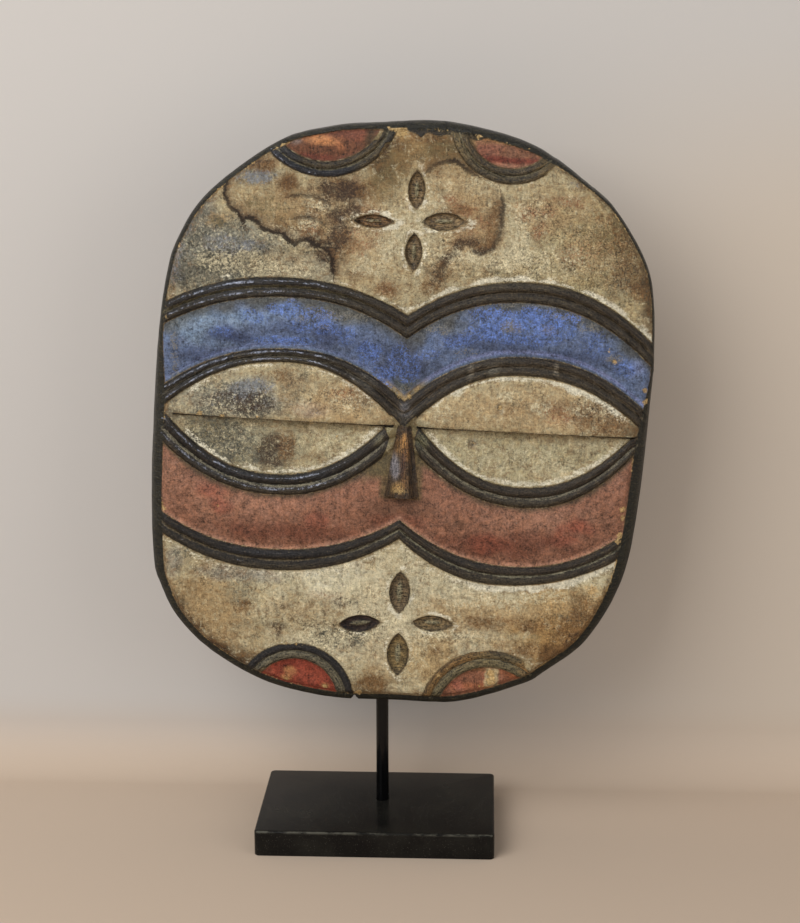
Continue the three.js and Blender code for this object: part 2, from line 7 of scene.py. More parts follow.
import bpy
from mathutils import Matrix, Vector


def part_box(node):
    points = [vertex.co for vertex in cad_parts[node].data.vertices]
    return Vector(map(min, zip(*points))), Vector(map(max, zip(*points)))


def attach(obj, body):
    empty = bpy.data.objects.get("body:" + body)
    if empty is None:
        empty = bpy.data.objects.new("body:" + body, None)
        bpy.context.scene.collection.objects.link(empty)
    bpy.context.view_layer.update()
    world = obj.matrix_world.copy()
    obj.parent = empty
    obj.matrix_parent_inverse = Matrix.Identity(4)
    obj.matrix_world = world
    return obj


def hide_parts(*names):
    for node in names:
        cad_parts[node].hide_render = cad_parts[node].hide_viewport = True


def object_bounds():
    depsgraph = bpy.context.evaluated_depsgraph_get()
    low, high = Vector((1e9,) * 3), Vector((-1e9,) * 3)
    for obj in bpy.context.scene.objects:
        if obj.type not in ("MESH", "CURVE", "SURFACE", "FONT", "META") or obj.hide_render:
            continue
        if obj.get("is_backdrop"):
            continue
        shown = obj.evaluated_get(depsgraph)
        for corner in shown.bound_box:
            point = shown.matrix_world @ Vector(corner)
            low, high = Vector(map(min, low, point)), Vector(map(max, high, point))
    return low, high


bl_info = {
    "name": "Teke mask on a stand",
    "version": (1, 0, 0),
    "blender": (4, 5, 0),
    "location": "View3D > Sidebar > Teke mask",
    "description": "Carved and painted round mask, its rod, its base and a plain studio",
    "category": "Add Mesh",
}

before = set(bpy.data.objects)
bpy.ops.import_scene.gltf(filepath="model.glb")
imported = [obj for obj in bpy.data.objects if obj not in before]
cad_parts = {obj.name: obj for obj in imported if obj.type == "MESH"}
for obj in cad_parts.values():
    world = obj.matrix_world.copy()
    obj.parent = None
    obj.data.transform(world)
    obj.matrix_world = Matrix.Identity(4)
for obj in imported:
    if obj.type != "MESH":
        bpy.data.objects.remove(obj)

import math

import bmesh
import bpy
import numpy as np
from mathutils import Matrix, Vector

CAD_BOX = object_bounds()
MM = 0.001

# Placing of the board in millimetres: its back, the ground of its face and its middle
BACK_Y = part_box("mask")[1].y / MM
FACE_Y = -12.8
CENTRE_X = 18.7
CENTRE_Z = 296.0

# Outline of the board in the plane of the face, clockwise from the top
OUTLINE = np.array([
    (20, 185), (64.5, 176.5), (89.5, 165), (109, 151.5), (129.5, 134.5), (149.5, 104.5), (157, 80),
    (160, 43), (160, 20), (157, -55.5), (149.5, -109.5), (128.5, -153), (102, -177), (86, -187.5),
    (43.5, -202), (0, -203.5), (-43, -203.5), (-87, -194.5), (-125, -174), (-148, -151.5),
    (-159.5, -129.5), (-164.5, -111), (-166.5, -62.5), (-165, -1), (-162.5, 40.5), (-157.5, 80.5),
    (-150, 105.5), (-131, 135), (-88.5, 168), (-55, 179), (-22, 183),
])

# Rim: the worn bevel between the face and the side of the board. It is widest beside the cheeks,
# and narrows towards the foot, and above the eyes to a width of its own on each side.
RIM_WIDTH_CHEEK = 8.0
RIM_WIDTH_FOOT = 6.4
RIM_WIDTH_TOP = 4.8
RIM_WIDTH_UPPER = (3.2, 2.0)
RIM_TOP_REACH = ((5, 35), (60, 115))
RIM_TURN = ((-5, 55), (-32, 40))
RIM_FOOT_TURN = (-150, -95)
RIM_DEPTH = 6.0
RIM_CURVE = 2.7
RIM_LENGTH = 1150.0
BACK_EDGE_ROUND = 2.5
BACK_HOLLOW = 0.25

# Lines of the carving. Each is a pair of arches that meet at u = 0: its height in the middle, then
# for the left and the right where it crests, how high, and how high it is at u = 150.
ARCH_END_U = 150.0
ARCH_POWER = 2.2
LINES = {
    "brow_top": (62, (-80.5, 83, 67.4), (75.5, 86.4, 57.2)),
    "brow_foot": (46.8, (-76, 70.4, 53.5), (73, 73.4, 42.8)),
    "lid_top": (5.5, (-76, 36.6, 14.5), (77, 38.1, 10.8)),
    "lid_foot": (-14.2, (-78, 27.9, 1.5), (75, 26, -2.8)),
    "pouch_top": (2.8, (-83.6, -47.3, -16.5), (78.5, -48.4, -10)),
    "pouch_foot": (-19, (-82, -61, -36.4), (81.5, -62, -24.5)),
    "jaw_top": (-74.2, (-84.4, -98.5, -81.6), (77, -102.7, -75.4)),
    "jaw_foot": (-87, (-81.7, -112.8, -95.9), (68.7, -115.6, -91.6)),
}
EYE_LINE_V = -10.3
EYE_LINE_SLOPE = -0.007

# Relief, measured forward from the ground of the face
CROWN = 2.5
EDGE_FALL = 1.0
EDGE_HEIGHT = -CROWN - EDGE_FALL
EDGE_FALL_WIDTH = 5.0
RELIEF_FADE = 3.5
RIDGE_FULLNESS = 0.6
GROOVE_HEIGHT = 0.5
FOREHEAD_SWELL = 2.5
CHIN_SWELL = 3.0
SWELL_REACH = 22.0
BAND_LIP = 0.9
BAND_ROLL_END = 0.86
LID_FULLNESS = 0.35
EYE_SINK = 3.0
SINK_FULLNESS = 0.6
SLIT_DEPTH = 2.5
SLIT_HEIGHT = 1.4

# Middle and half the width of each eye
EYE_LEFT = (-79, 73)
EYE_RIGHT = (80, 72)

# Nose: a tapered prism that grows from between the eyes down to a flat end
NOSE_U = 0.8
NOSE_TOP_V = -7.0
NOSE_FOOT_V = -57.5
NOSE_TOP_HALF = 4.0
NOSE_FOOT_HALF = 11.5
NOSE_RIDGE = 0.42
NOSE_TOP_RISE = 2.6
NOSE_FOOT_RISE = 8.0
NOSE_END_SLOPE = 10.8
NOSE_SIDE_ROUND = 0.25

# Petals, four in the forehead and four in the chin: place, length, width and turn in degrees
PETALS = (
    (2.6, 142.5, 25, 11, 90), (2.3, 103.3, 24.5, 11, 90),
    (20.6, 123.1, 28, 11.5, 2), (-23.9, 121.6, 26.5, 8.5, 0),
    (2, -123.4, 30, 14, 90), (2.3, -166.6, 30.5, 14.5, 90),
    (-24, -146.5, 29.5, 12, 7), (24.5, -143.9, 28, 11, 0),
)
PETAL_FLOOR = 0.72
LEAF_LENGTH = 0.62
LEAF_WIDTH = 0.34
LEAF_RISE = 1.9

# Half-round motifs at the rim: the middle and radius of a disc and the width of its two ridges,
# which run around a sunk field
MOTIFS = (
    (-56.7, 197.2, 49.3, 4.9), (61.3, 187.4, 39.2, 4.9),
    (-66, -202.1, 39.7, 5.5), (64.1, -206.8, 45.8, 5.9),
)
MOTIF_RIDGE_RISE = 1.4
MOTIF_FIELD_DEPTH = 1.5

# Small break in the lower rim, left of the rod
NOTCH_U = -26.0
NOTCH_V = -203.0
NOTCH_HALF = 2.2
NOTCH_RISE = 3.6

# Nicks and knocks in the face: place, radius and depth
NICKS = (
    (61, 7, 2.6, 1.0), (45, -20.5, 2.8, 0.8), (-43, -20.5, 2.4, 0.6), (-120, -70, 2.0, 0.5),
    (-6, 177, 5.0, 1.2), (-16, 180, 3.0, 0.9), (134, 37, 3.2, 0.5), (-37, 9, 2.2, 0.5),
    (122, -129, 2.2, 0.5), (-28, -195.5, 2.5, 0.9),
)

# Mesh steps across the face and down each of its zones
COLUMNS = 236
COLUMN_EASE = 0.2
COLUMN_SPAN = 160.0
FOREHEAD_ROWS = 72
CHIN_ROWS = 64
PAIR_ROWS = 18
BLUE_ROWS = 26
RED_ROWS = 34
EYE_ROWS = 24
SLIT_STEPS = (0.03, 0.5, 1.0)
LID_EDGE = 0.998
RIM_RINGS = 5
SIDE_RINGS = 4
BACK_RINGS = (0.985, 0.9, 0.75, 0.55, 0.3)
SNAP_REACH = 0.62
SNAP_FARTHEST = 6.0
SNAP_FLATTEST = 0.05
NOSE_END_REACH = 0.95
RIM_SAMPLE_COUNT = 2880
HALVINGS = 45
SLOPE_STEP = 0.02
MERGE_MM = 0.02
OUTLINE_INSET = 0.2

# Depth of a place that lies inside no shape, and distance of one that has no edge near it
OUTSIDE = -20.0
FAR = 99.0


# Soft random hills: the squares of their table, and a shift that keeps every place positive
CLOUD_CELLS = 64
CLOUD_SHIFT = 1000


def smooth(low, high, x):
    """0 below low, 1 above high and an even curve between."""
    t = np.clip((x - low) / (high - low), 0, 1)
    return t * t * (3 - 2 * t)


def mix(a, b, t):
    return a + (b - a) * t


def cloud(u, v, size, seed):
    """Soft random hills from -1 to 1 with the given distance between them."""
    table = np.random.RandomState(seed).uniform(-1, 1, (CLOUD_CELLS, CLOUD_CELLS))
    x = np.asarray(u, float) / size + CLOUD_SHIFT
    y = np.asarray(v, float) / size + CLOUD_SHIFT
    column = np.floor(x).astype(int)
    row = np.floor(y).astype(int)
    across = x - column
    along = y - row
    across = across ** 3 * (across * (across * 6 - 15) + 10)
    along = along ** 3 * (along * (along * 6 - 15) + 10)

    def corner(i, j):
        return table[(column + i) % CLOUD_CELLS, (row + j) % CLOUD_CELLS]

    low = mix(corner(0, 0), corner(1, 0), across)
    high = mix(corner(0, 1), corner(1, 1), across)
    return mix(low, high, along)


# Outline and rim

def outline_point(place):
    """Points of the board's outline; place runs from 0 at the top to 1, clockwise."""
    count = len(OUTLINE)
    along = np.mod(place, 1.0) * count
    first = np.floor(along).astype(int)
    w = (along - first)[..., None]
    a, b, c, d = (OUTLINE[(first + i) % count] for i in (-1, 0, 1, 2))
    curve = 2 * b + (c - a) * w + (2 * a - 5 * b + 4 * c - d) * w ** 2
    return 0.5 * (curve + (3 * b - a - 3 * c + d) * w ** 3)


def rim_width(u, v):
    lower = mix(RIM_WIDTH_FOOT, RIM_WIDTH_CHEEK, smooth(*RIM_FOOT_TURN, v))
    left, right = (
        mix(lower, mix(RIM_WIDTH_TOP, width, smooth(*reach, np.abs(u))), smooth(*turn, v))
        for width, reach, turn in zip(RIM_WIDTH_UPPER, RIM_TOP_REACH, RIM_TURN)
    )
    return np.where(u < 0, left, right)


def rim_inner(place):
    """Inner edge of the rim, where the face ends."""
    place = np.asarray(place, float)
    outer = outline_point(place)
    along = outline_point(place + 1e-4) - outline_point(place - 1e-4)
    along /= np.linalg.norm(along, axis=-1, keepdims=True)
    inward = np.stack([along[..., 1], -along[..., 0]], -1)
    return outer + inward * rim_width(outer[..., 0], outer[..., 1])[..., None]


RIM_SAMPLES = np.linspace(0, 1, RIM_SAMPLE_COUNT, endpoint=False)
INNER_SAMPLES = rim_inner(RIM_SAMPLES)
INNER_ANGLES = np.arctan2(INNER_SAMPLES[:, 1], INNER_SAMPLES[:, 0])
BY_ANGLE = np.argsort(INNER_ANGLES)
INNER_RADII = np.hypot(INNER_SAMPLES[:, 0], INNER_SAMPLES[:, 1])


def rim_reach(u, v):
    """How far the face reaches from its centre in the direction of a point."""
    angle = np.arctan2(v, u)
    return np.interp(angle, INNER_ANGLES[BY_ANGLE], INNER_RADII[BY_ANGLE], period=2 * math.pi)


def inside_rim(u, v):
    """Distance from the rim's inner edge, above 0 on the face."""
    return rim_reach(u, v) - np.hypot(u, v)


def rim_place_towards(degrees):
    return RIM_SAMPLES[np.argmin(np.abs(INNER_ANGLES - math.radians(degrees)))]


TOP_RIGHT = rim_place_towards(46)
BOTTOM_RIGHT = rim_place_towards(-50)
BOTTOM_LEFT = rim_place_towards(-131)
TOP_LEFT = rim_place_towards(134)


# Lines of the carving

def arch(name, u):
    middle, (left_u, left_v, left_end), (right_u, right_v, right_end) = LINES[name]
    left = u < 0
    crest_u = np.where(left, left_u, right_u)
    crest_v = np.where(left, left_v, right_v)
    inward = np.abs(u) < np.abs(crest_u)
    end = np.where(inward, middle, np.where(left, left_end, right_end))
    span = np.where(inward, np.abs(crest_u), ARCH_END_U - np.abs(crest_u))
    return crest_v + (end - crest_v) * (np.abs(u - crest_u) / span) ** ARCH_POWER


def line_at(name, u):
    """Height on the face of one of the lines of the carving."""
    eye = EYE_LINE_V + EYE_LINE_SLOPE * u
    if name == "eye":
        return eye
    if name == "slit_foot":
        return eye - SLIT_HEIGHT
    if name == "lid_foot":
        return np.maximum(arch(name, u), eye)
    if name == "pouch_top":
        return np.minimum(arch(name, u), eye - SLIT_HEIGHT)
    return arch(name, u)


def rim_places_between(upper, lower, fractions, start, stop):
    """Places on one side of the rim that lie at fractions of the way between two lines."""
    above = np.full(len(fractions), float(start))
    below = np.full(len(fractions), float(stop))
    for _ in range(HALVINGS):
        middle = (above + below) / 2
        u, v = rim_inner(middle).T
        is_above = v > mix(line_at(upper, u), line_at(lower, u), fractions)
        above = np.where(is_above, middle, above)
        below = np.where(is_above, below, middle)
    return (above + below) / 2


# Relief of each zone: height forward of the ground, f of the way down the zone

def ridge(x):
    """Round profile of a ridge between 0 and 1, flat outside it."""
    return np.sin(math.pi * np.clip(x, 0, 1)) ** RIDGE_FULLNESS


def ridge_pair(f, u, shape):
    """Two round ridges side by side, with a narrow groove between."""
    wobble = 1 + 0.08 * cloud(u, f * 30, 11, 5)
    groove = GROOVE_HEIGHT * (1 - np.abs(2 * f - 1))
    ridges = np.maximum(ridge(f / 0.5), ridge((f - 0.5) / 0.5)) * shape.ridge_height / MM * wobble
    return np.maximum(ridges, groove)


def rolled_band(f, u, shape):
    """A soft roll that dips at its foot before a thin lip."""
    roll = shape.band_swell / MM * np.sin(math.pi * np.minimum(f / BAND_ROLL_END, 1) ** 0.8)
    return roll - BAND_LIP * np.sin(math.pi * smooth(BAND_ROLL_END, 1, f))


def eye_opening(u, fullness):
    middle, half = (np.where(u < 0, left, right) for left, right in zip(EYE_LEFT, EYE_RIGHT))
    away = np.minimum(np.abs(u - middle) / half, 1)
    return (1 - away ** 2) ** fullness


def upper_eye(f, u, shape):
    """The lid swells down to a worn edge that hangs over the slit."""
    swell = shape.lid_overhang / MM * eye_opening(u, LID_FULLNESS) * (1 - (1 - f) ** 1.8)
    worn = 0.5 + 0.5 * cloud(u, 0 * u, 5, 21) + 0.5 * np.maximum(cloud(u, 0 * u, 2.6, 22), 0)
    return swell - worn * smooth(0.94, 1, f) * eye_opening(u, LID_FULLNESS)


def lower_eye(f, u, shape):
    return -EYE_SINK * eye_opening(u, SINK_FULLNESS) * (1 - f) ** 1.4


def eye_slit(f, u, shape):
    return lower_eye(0, u, shape) - SLIT_DEPTH * eye_opening(u, SINK_FULLNESS)


def shares(count):
    """Even shares of a zone's height, down to its foot."""
    return np.arange(1, count + 1) / count


# Zones from the brow to the jaw: the lines above and below, the profile and the rows of the mesh
ZONES = (
    ("brow_top", "brow_foot", ridge_pair, shares(PAIR_ROWS)),
    ("brow_foot", "lid_top", rolled_band, shares(BLUE_ROWS)),
    ("lid_top", "lid_foot", ridge_pair, shares(PAIR_ROWS)),
    ("lid_foot", "eye", upper_eye, np.minimum(shares(EYE_ROWS), LID_EDGE)),
    ("eye", "slit_foot", eye_slit, SLIT_STEPS),
    ("slit_foot", "pouch_top", lower_eye, shares(EYE_ROWS)),
    ("pouch_top", "pouch_foot", ridge_pair, shares(PAIR_ROWS)),
    ("pouch_foot", "jaw_top", rolled_band, shares(RED_ROWS)),
    ("jaw_top", "jaw_foot", ridge_pair, shares(PAIR_ROWS)),
)


def ground_height(u, v):
    reach = rim_reach(u, v)
    radius = np.hypot(u, v)
    fall = EDGE_FALL * np.maximum(1 - (reach - radius) / EDGE_FALL_WIDTH, 0) ** 2
    return -CROWN * (radius / reach) ** 2 - fall


def lens(petal, u, v, length_scale=1.0, width_scale=1.0):
    """0 in the middle of a petal, 1 on its pointed outline."""
    middle_u, middle_v, length, width, degrees = petal
    length, width = length * length_scale, width * width_scale
    turn = math.radians(degrees)
    x = (u - middle_u) * math.cos(turn) + (v - middle_v) * math.sin(turn)
    y = np.abs((v - middle_v) * math.cos(turn) - (u - middle_u) * math.sin(turn))
    radius = (length ** 2 + width ** 2) / (4 * width)
    a = (length / 2) ** 2
    b = y * (radius - width / 2)
    return (b + np.sqrt(b ** 2 + a * (x ** 2 + y ** 2))) / a


def leaf(petal, u, v):
    return lens(petal, u, v, LEAF_LENGTH, LEAF_WIDTH)


def motif_depth(motif, u, v):
    """Distance inwards from the outer edge of a half-round motif."""
    x, y, radius, _ = motif
    return radius - np.hypot(u - x, v - y)


def nose_half(v):
    t = np.clip((v - NOSE_TOP_V) / (NOSE_FOOT_V - NOSE_TOP_V), 0, 1.1)
    return mix(NOSE_TOP_HALF, NOSE_FOOT_HALF, t)


def nose_height(u, v):
    """Height of the nose, far below the face where there is none."""
    t = np.clip((v - NOSE_TOP_V) / (NOSE_FOOT_V - NOSE_TOP_V), 0, 1)
    across = np.abs(u - NOSE_U) / nose_half(v)
    rise = mix(NOSE_TOP_RISE, NOSE_FOOT_RISE, t)
    side = np.clip((1 - across) / (1 - NOSE_RIDGE), -3, 1)
    flat = smooth(0, 1, side) * NOSE_SIDE_ROUND + side * (1 - NOSE_SIDE_ROUND)
    end = (NOSE_FOOT_V - v) * NOSE_END_SLOPE
    start = np.maximum(v - NOSE_TOP_V, 0)
    return ground_height(u * 0 + NOSE_U, v) + rise * flat - np.maximum(end, 0) - start


def face_height(u, v, shape):
    """Height of the carved face at any place on it."""
    relief = FOREHEAD_SWELL * smooth(0, SWELL_REACH, v - line_at("brow_top", u))
    relief += CHIN_SWELL * smooth(0, SWELL_REACH, line_at("jaw_foot", u) - v)
    for top, foot, profile, _ in ZONES:
        above, below = line_at(top, u), line_at(foot, u)
        f = np.clip((above - v) / np.maximum(above - below, 1e-6), 0, 1)
        relief = np.where((v <= above) & (v > below), profile(f, u, shape), relief)
    marks = shape.tool_marks / MM * (0.6 * cloud(u, v * 0.7, 19, 1) + 0.4 * cloud(u * 1.2, v, 7, 2))
    fade = smooth(0, RELIEF_FADE, inside_rim(u, v))
    height = ground_height(u, v) + (relief + marks) * fade
    height = np.maximum(height, nose_height(u, v))
    for petal in PETALS:
        hollow = np.clip((1 - lens(petal, u, v)) / (1 - PETAL_FLOOR), 0, 1)
        rib = np.clip(1 - leaf(petal, u, v), 0, 1)
        height = height - shape.petal_depth / MM * hollow + LEAF_RISE * rib ** 0.7
    for motif in MOTIFS:
        depth, width = motif_depth(motif, u, v), motif[3]
        ridges = ridge(depth / width) + ridge(depth / width - 1)
        field = smooth(0, 0.8, depth - 2 * width) * smooth(0, 1.5, inside_rim(u, v))
        height = height + ridges * MOTIF_RIDGE_RISE * fade - MOTIF_FIELD_DEPTH * field
    for nick_u, nick_v, radius, deep in NICKS:
        away = np.hypot(u - nick_u, v - nick_v) * (1 + 0.35 * cloud(u, v, 1.7, 31))
        height = height - deep * smooth(1, 0.3, away / radius)
    return height


# Mesh of the board

def even_steps():
    """Steps from 0 at the middle of the face to 1 at its rim, closer together near the middle."""
    x = np.linspace(0, 1, COLUMNS // 2 + 1)
    return x * (1 - COLUMN_EASE) + COLUMN_EASE * x ** 2


def steps_across():
    """Steps from 0 at the rim on the left to 1 on the right, closer together in the middle."""
    steps = even_steps()
    return np.concatenate([0.5 - steps[:0:-1] / 2, 0.5 + steps / 2])


def spread(left, right):
    """u of each column, from the rim on the left over the middle to the rim on the right."""
    steps = even_steps()
    to_left = -COLUMN_SPAN * steps + (left + COLUMN_SPAN) * steps ** 4
    to_right = COLUMN_SPAN * steps + (right - COLUMN_SPAN) * steps ** 4
    return np.concatenate([to_left[:0:-1], to_right])


def rows_between(upper, lower, fractions):
    """Rows of points between two lines of the carving, with the rim's place at both ends."""
    left = rim_places_between(upper, lower, fractions, TOP_LEFT, BOTTOM_LEFT)
    right = rim_places_between(upper, lower, fractions, TOP_RIGHT, BOTTOM_RIGHT)
    rows = []
    for f, left_place, right_place in zip(fractions, left, right):
        u = spread(rim_inner(left_place)[0], rim_inner(right_place)[0])
        v = mix(line_at(upper, u), line_at(lower, u), f)
        rows.append((u, v, left_place, right_place))
    return rows


def rows_to_rim(near_row, rim_left, rim_right, far_left, count):
    """Rows from a line of the carving to the rim beyond it, blended from the field's four sides."""
    near_u, near_v, near_left, near_right = near_row
    near = np.stack([near_u, near_v], -1)
    t = steps_across()[:, None]
    far = rim_inner(mix(far_left, rim_right, t[:, 0]))
    rows = []
    for step in range(1, count + 1):
        f = step / count
        left_place, right_place = mix(near_left, rim_left, f), mix(near_right, rim_right, f)
        sides = mix(rim_inner(left_place), rim_inner(right_place), t)
        ends = mix(near, far, f)
        corners = mix(mix(near[0], far[0], f), mix(near[-1], far[-1], f), t)
        point = sides + ends - corners
        rows.append((point[:, 0], point[:, 1], left_place, right_place))
    return rows


def face_grid():
    """All rows of the face from the top of the rim to its foot, and the rim's places around it."""
    brow = rows_between(*ZONES[0][:2], [0])
    rows = rows_to_rim(brow[0], TOP_LEFT, TOP_RIGHT, TOP_LEFT - 1, FOREHEAD_ROWS)[::-1] + brow
    for upper, lower, _, fractions in ZONES:
        rows += rows_between(upper, lower, fractions)
    rows += rows_to_rim(rows[-1], BOTTOM_LEFT, BOTTOM_RIGHT, BOTTOM_LEFT, CHIN_ROWS)
    u, v, left, right = (np.array(parts) for parts in zip(*rows))
    top = mix(TOP_LEFT - 1, TOP_RIGHT, steps_across())
    foot = mix(BOTTOM_LEFT, BOTTOM_RIGHT, steps_across())
    return u, v, left, right, top, foot


def sharp_edges():
    """Lines of the small carving that the mesh follows: 0 on the line, and how far they draw points."""
    edges = []
    for petal in PETALS:
        for scale in (1.0, PETAL_FLOOR):
            edges.append((lambda u, v, p=petal, s=scale: (lens(p, u, v) - s) * p[3] / 2, SNAP_REACH))
        edges.append((lambda u, v, p=petal: (leaf(p, u, v) - 1) * p[3] * LEAF_WIDTH / 2, SNAP_REACH))
    for motif in MOTIFS:
        for step in range(3):
            edges.append((lambda u, v, m=motif, s=step: motif_depth(m, u, v) - s * m[3], SNAP_REACH))

    def along_nose(u, v, share):
        beside = (v < NOSE_TOP_V) & (v > NOSE_FOOT_V + 0.4)
        return np.where(beside, np.abs(u - NOSE_U) - share * nose_half(v), FAR)

    def under_nose(u, v, drop):
        below = np.abs(u - NOSE_U) < NOSE_FOOT_HALF + 0.5
        return np.where(below, v - NOSE_FOOT_V + drop, FAR)

    for share in (1.0, NOSE_RIDGE):
        edges.append((lambda u, v, s=share: along_nose(u, v, s), SNAP_REACH))
    for drop in (0, 1.2):
        edges.append((lambda u, v, d=drop: under_nose(u, v, d), NOSE_END_REACH))
    return edges


def follow_edges(u, v):
    """Moves each inner point that is close to a carved edge onto it. Returns which points moved."""
    best = np.ones(u.shape)
    move_u, move_v = np.zeros(u.shape), np.zeros(u.shape)
    inner = np.zeros(u.shape, bool)
    inner[1:-1, 1:-1] = True
    for edge, reach in sharp_edges():
        away = edge(u, v)
        slope_u = (edge(u + SLOPE_STEP, v) - away) / SLOPE_STEP
        slope_v = (edge(u, v + SLOPE_STEP) - away) / SLOPE_STEP
        steep = slope_u ** 2 + slope_v ** 2
        usable = inner & (steep > SNAP_FLATTEST) & (np.abs(away) < SNAP_FARTHEST)
        share = np.abs(away) / np.sqrt(np.maximum(steep, 1e-6)) / reach
        closer = usable & (share < best)
        best = np.where(closer, share, best)
        move_u = np.where(closer, -away * slope_u / np.maximum(steep, 1e-6), move_u)
        move_v = np.where(closer, -away * slope_v / np.maximum(steep, 1e-6), move_v)
    return u + move_u, v + move_v, best < 1


def to_world(u, v, y):
    """Places on the board in millimetres to metres in the part's frame."""
    lean = math.radians(bpy.context.scene.mask_shape.lean)
    x = CENTRE_X + u * math.cos(lean) + v * math.sin(lean)
    z = CENTRE_Z - u * math.sin(lean) + v * math.cos(lean)
    return np.stack([x, np.broadcast_to(y, x.shape), z], -1) * MM


def to_face(points):
    """Metres in the part's frame back to places on the board in millimetres."""
    lean = math.radians(bpy.context.scene.mask_shape.lean)
    x, z = points[:, 0] / MM - CENTRE_X, points[:, 2] / MM - CENTRE_Z
    return x * math.cos(lean) - z * math.sin(lean), x * math.sin(lean) + z * math.cos(lean)


def grid_faces(u, followed, height):
    """Two triangles for each cell, split along the carved edge that runs through it."""
    rows, columns = u.shape
    number = np.arange(rows * columns).reshape(rows, columns)
    a, b = number[:-1, :-1], number[:-1, 1:]
    d, c = number[1:, :-1], number[1:, 1:]
    on_ac = followed[:-1, :-1] & followed[1:, 1:]
    on_bd = followed[:-1, 1:] & followed[1:, :-1]
    flatter = np.abs(height[:-1, :-1] - height[1:, 1:]) < np.abs(height[:-1, 1:] - height[1:, :-1])
    use_ac = np.where(on_ac != on_bd, on_ac, flatter)[..., None]
    first = np.where(use_ac, np.stack([a, d, c], -1), np.stack([a, d, b], -1))
    second = np.where(use_ac, np.stack([a, c, b], -1), np.stack([b, d, c], -1))
    return np.concatenate([first.reshape(-1, 3), second.reshape(-1, 3)])


def ring_faces(inner, outer):
    """Triangles between two closed loops of points, given by their numbers."""
    after_in, after_out = np.roll(inner, -1), np.roll(outer, -1)
    first = np.stack([inner, after_in, after_out], -1)
    second = np.stack([inner, after_out, outer], -1)
    return np.concatenate([first, second])


def board_rings(places):
    """Loops from the inner edge of the rim over the bevel and the side to the middle of the back."""
    outer, inner = outline_point(places), rim_inner(places)
    width = np.linalg.norm(outer - inner, axis=-1)
    along = places * RIM_LENGTH
    ragged = OUTLINE_INSET * (1.5 + 0.5 * cloud(along, 0 * along, 6, 40))
    outer = mix(outer, inner, (ragged / width)[:, None])
    depth = RIM_DEPTH * np.sqrt(width / RIM_WIDTH_FOOT)
    rings = []
    for ring in range(1, RIM_RINGS + 1):
        a = ring / RIM_RINGS
        at = mix(inner, outer, a)
        down = a * 9 + 0 * along
        knocks = 0.25 * cloud(along, down, 5, 41) + 0.2 * cloud(along, down, 2.2, 42)
        sink = depth * a ** RIM_CURVE - knocks * math.sin(math.pi * a)
        rings.append((at, FACE_Y - EDGE_HEIGHT + sink))
    front = FACE_Y - EDGE_HEIGHT + depth
    away = outer / np.linalg.norm(outer, axis=-1, keepdims=True)
    for ring in range(1, SIDE_RINGS + 1):
        b = ring / SIDE_RINGS
        dents = 0.35 + 0.35 * cloud(along, b * 22 + 0 * along, 9, 43)
        dents = dents * math.sin(math.pi * min(b, 0.9))
        rings.append((outer - away * dents[:, None], mix(front, BACK_Y - BACK_EDGE_ROUND, b)))
    for turn in (30, 60, 90):
        angle = math.radians(turn)
        inset = BACK_EDGE_ROUND * (1 - math.cos(angle))
        y = BACK_Y - BACK_EDGE_ROUND * (1 - math.sin(angle))
        rings.append((outer - away * inset, y + 0 * width))
    for share in BACK_RINGS:
        at = outer * share - away * BACK_EDGE_ROUND * share
        hollow = BACK_HOLLOW + BACK_HOLLOW * cloud(at[:, 0], at[:, 1], 23, 44)
        rings.append((at, BACK_Y - hollow * smooth(1, 0.93, share)))
    return rings


def carve_notch(u, v, y):
    """Pulls the outline in where the lower rim is broken."""
    across = np.abs(u - NOTCH_U) / NOTCH_HALF
    bite = (NOTCH_RISE + 1.2) * np.maximum(1 - across, 0)
    near = (v < NOTCH_V + 8) & (y < FACE_Y + 14)
    return np.where(near, np.maximum(v, NOTCH_V + bite), v)


def board_mesh(shape):
    """The whole board as one closed mesh."""
    u, v, left, right, top, foot = face_grid()
    u, v, followed = follow_edges(u, v)
    height = face_height(u, v, shape)
    rim = np.zeros(u.shape, bool)
    rim[0], rim[-1], rim[:, 0], rim[:, -1] = True, True, True, True
    height = np.where(rim, EDGE_HEIGHT, height)
    points = [to_world(u, v, FACE_Y - height).reshape(-1, 3)]
    faces = [grid_faces(u, followed, height)]
    number = np.arange(u.size).reshape(u.shape)
    loop = np.concatenate([number[0, :-1], number[:-1, -1], number[-1, :0:-1], number[:0:-1, 0]])
    places = np.concatenate([top[:-1], right[:-1], foot[:0:-1], left[:0:-1]])
    count = u.size
    for at, y in board_rings(places):
        ring_v = carve_notch(at[:, 0], at[:, 1], y)
        points.append(to_world(at[:, 0], ring_v, y))
        ring = np.arange(count, count + len(places))
        faces.append(ring_faces(loop, ring))
        loop = ring
        count += len(places)
    points.append(to_world(np.zeros(1), np.zeros(1), BACK_Y - 0.2))
    faces.append(np.stack([loop, np.roll(loop, -1), np.full(len(loop), count)], -1))
    return np.concatenate(points), np.concatenate(faces)


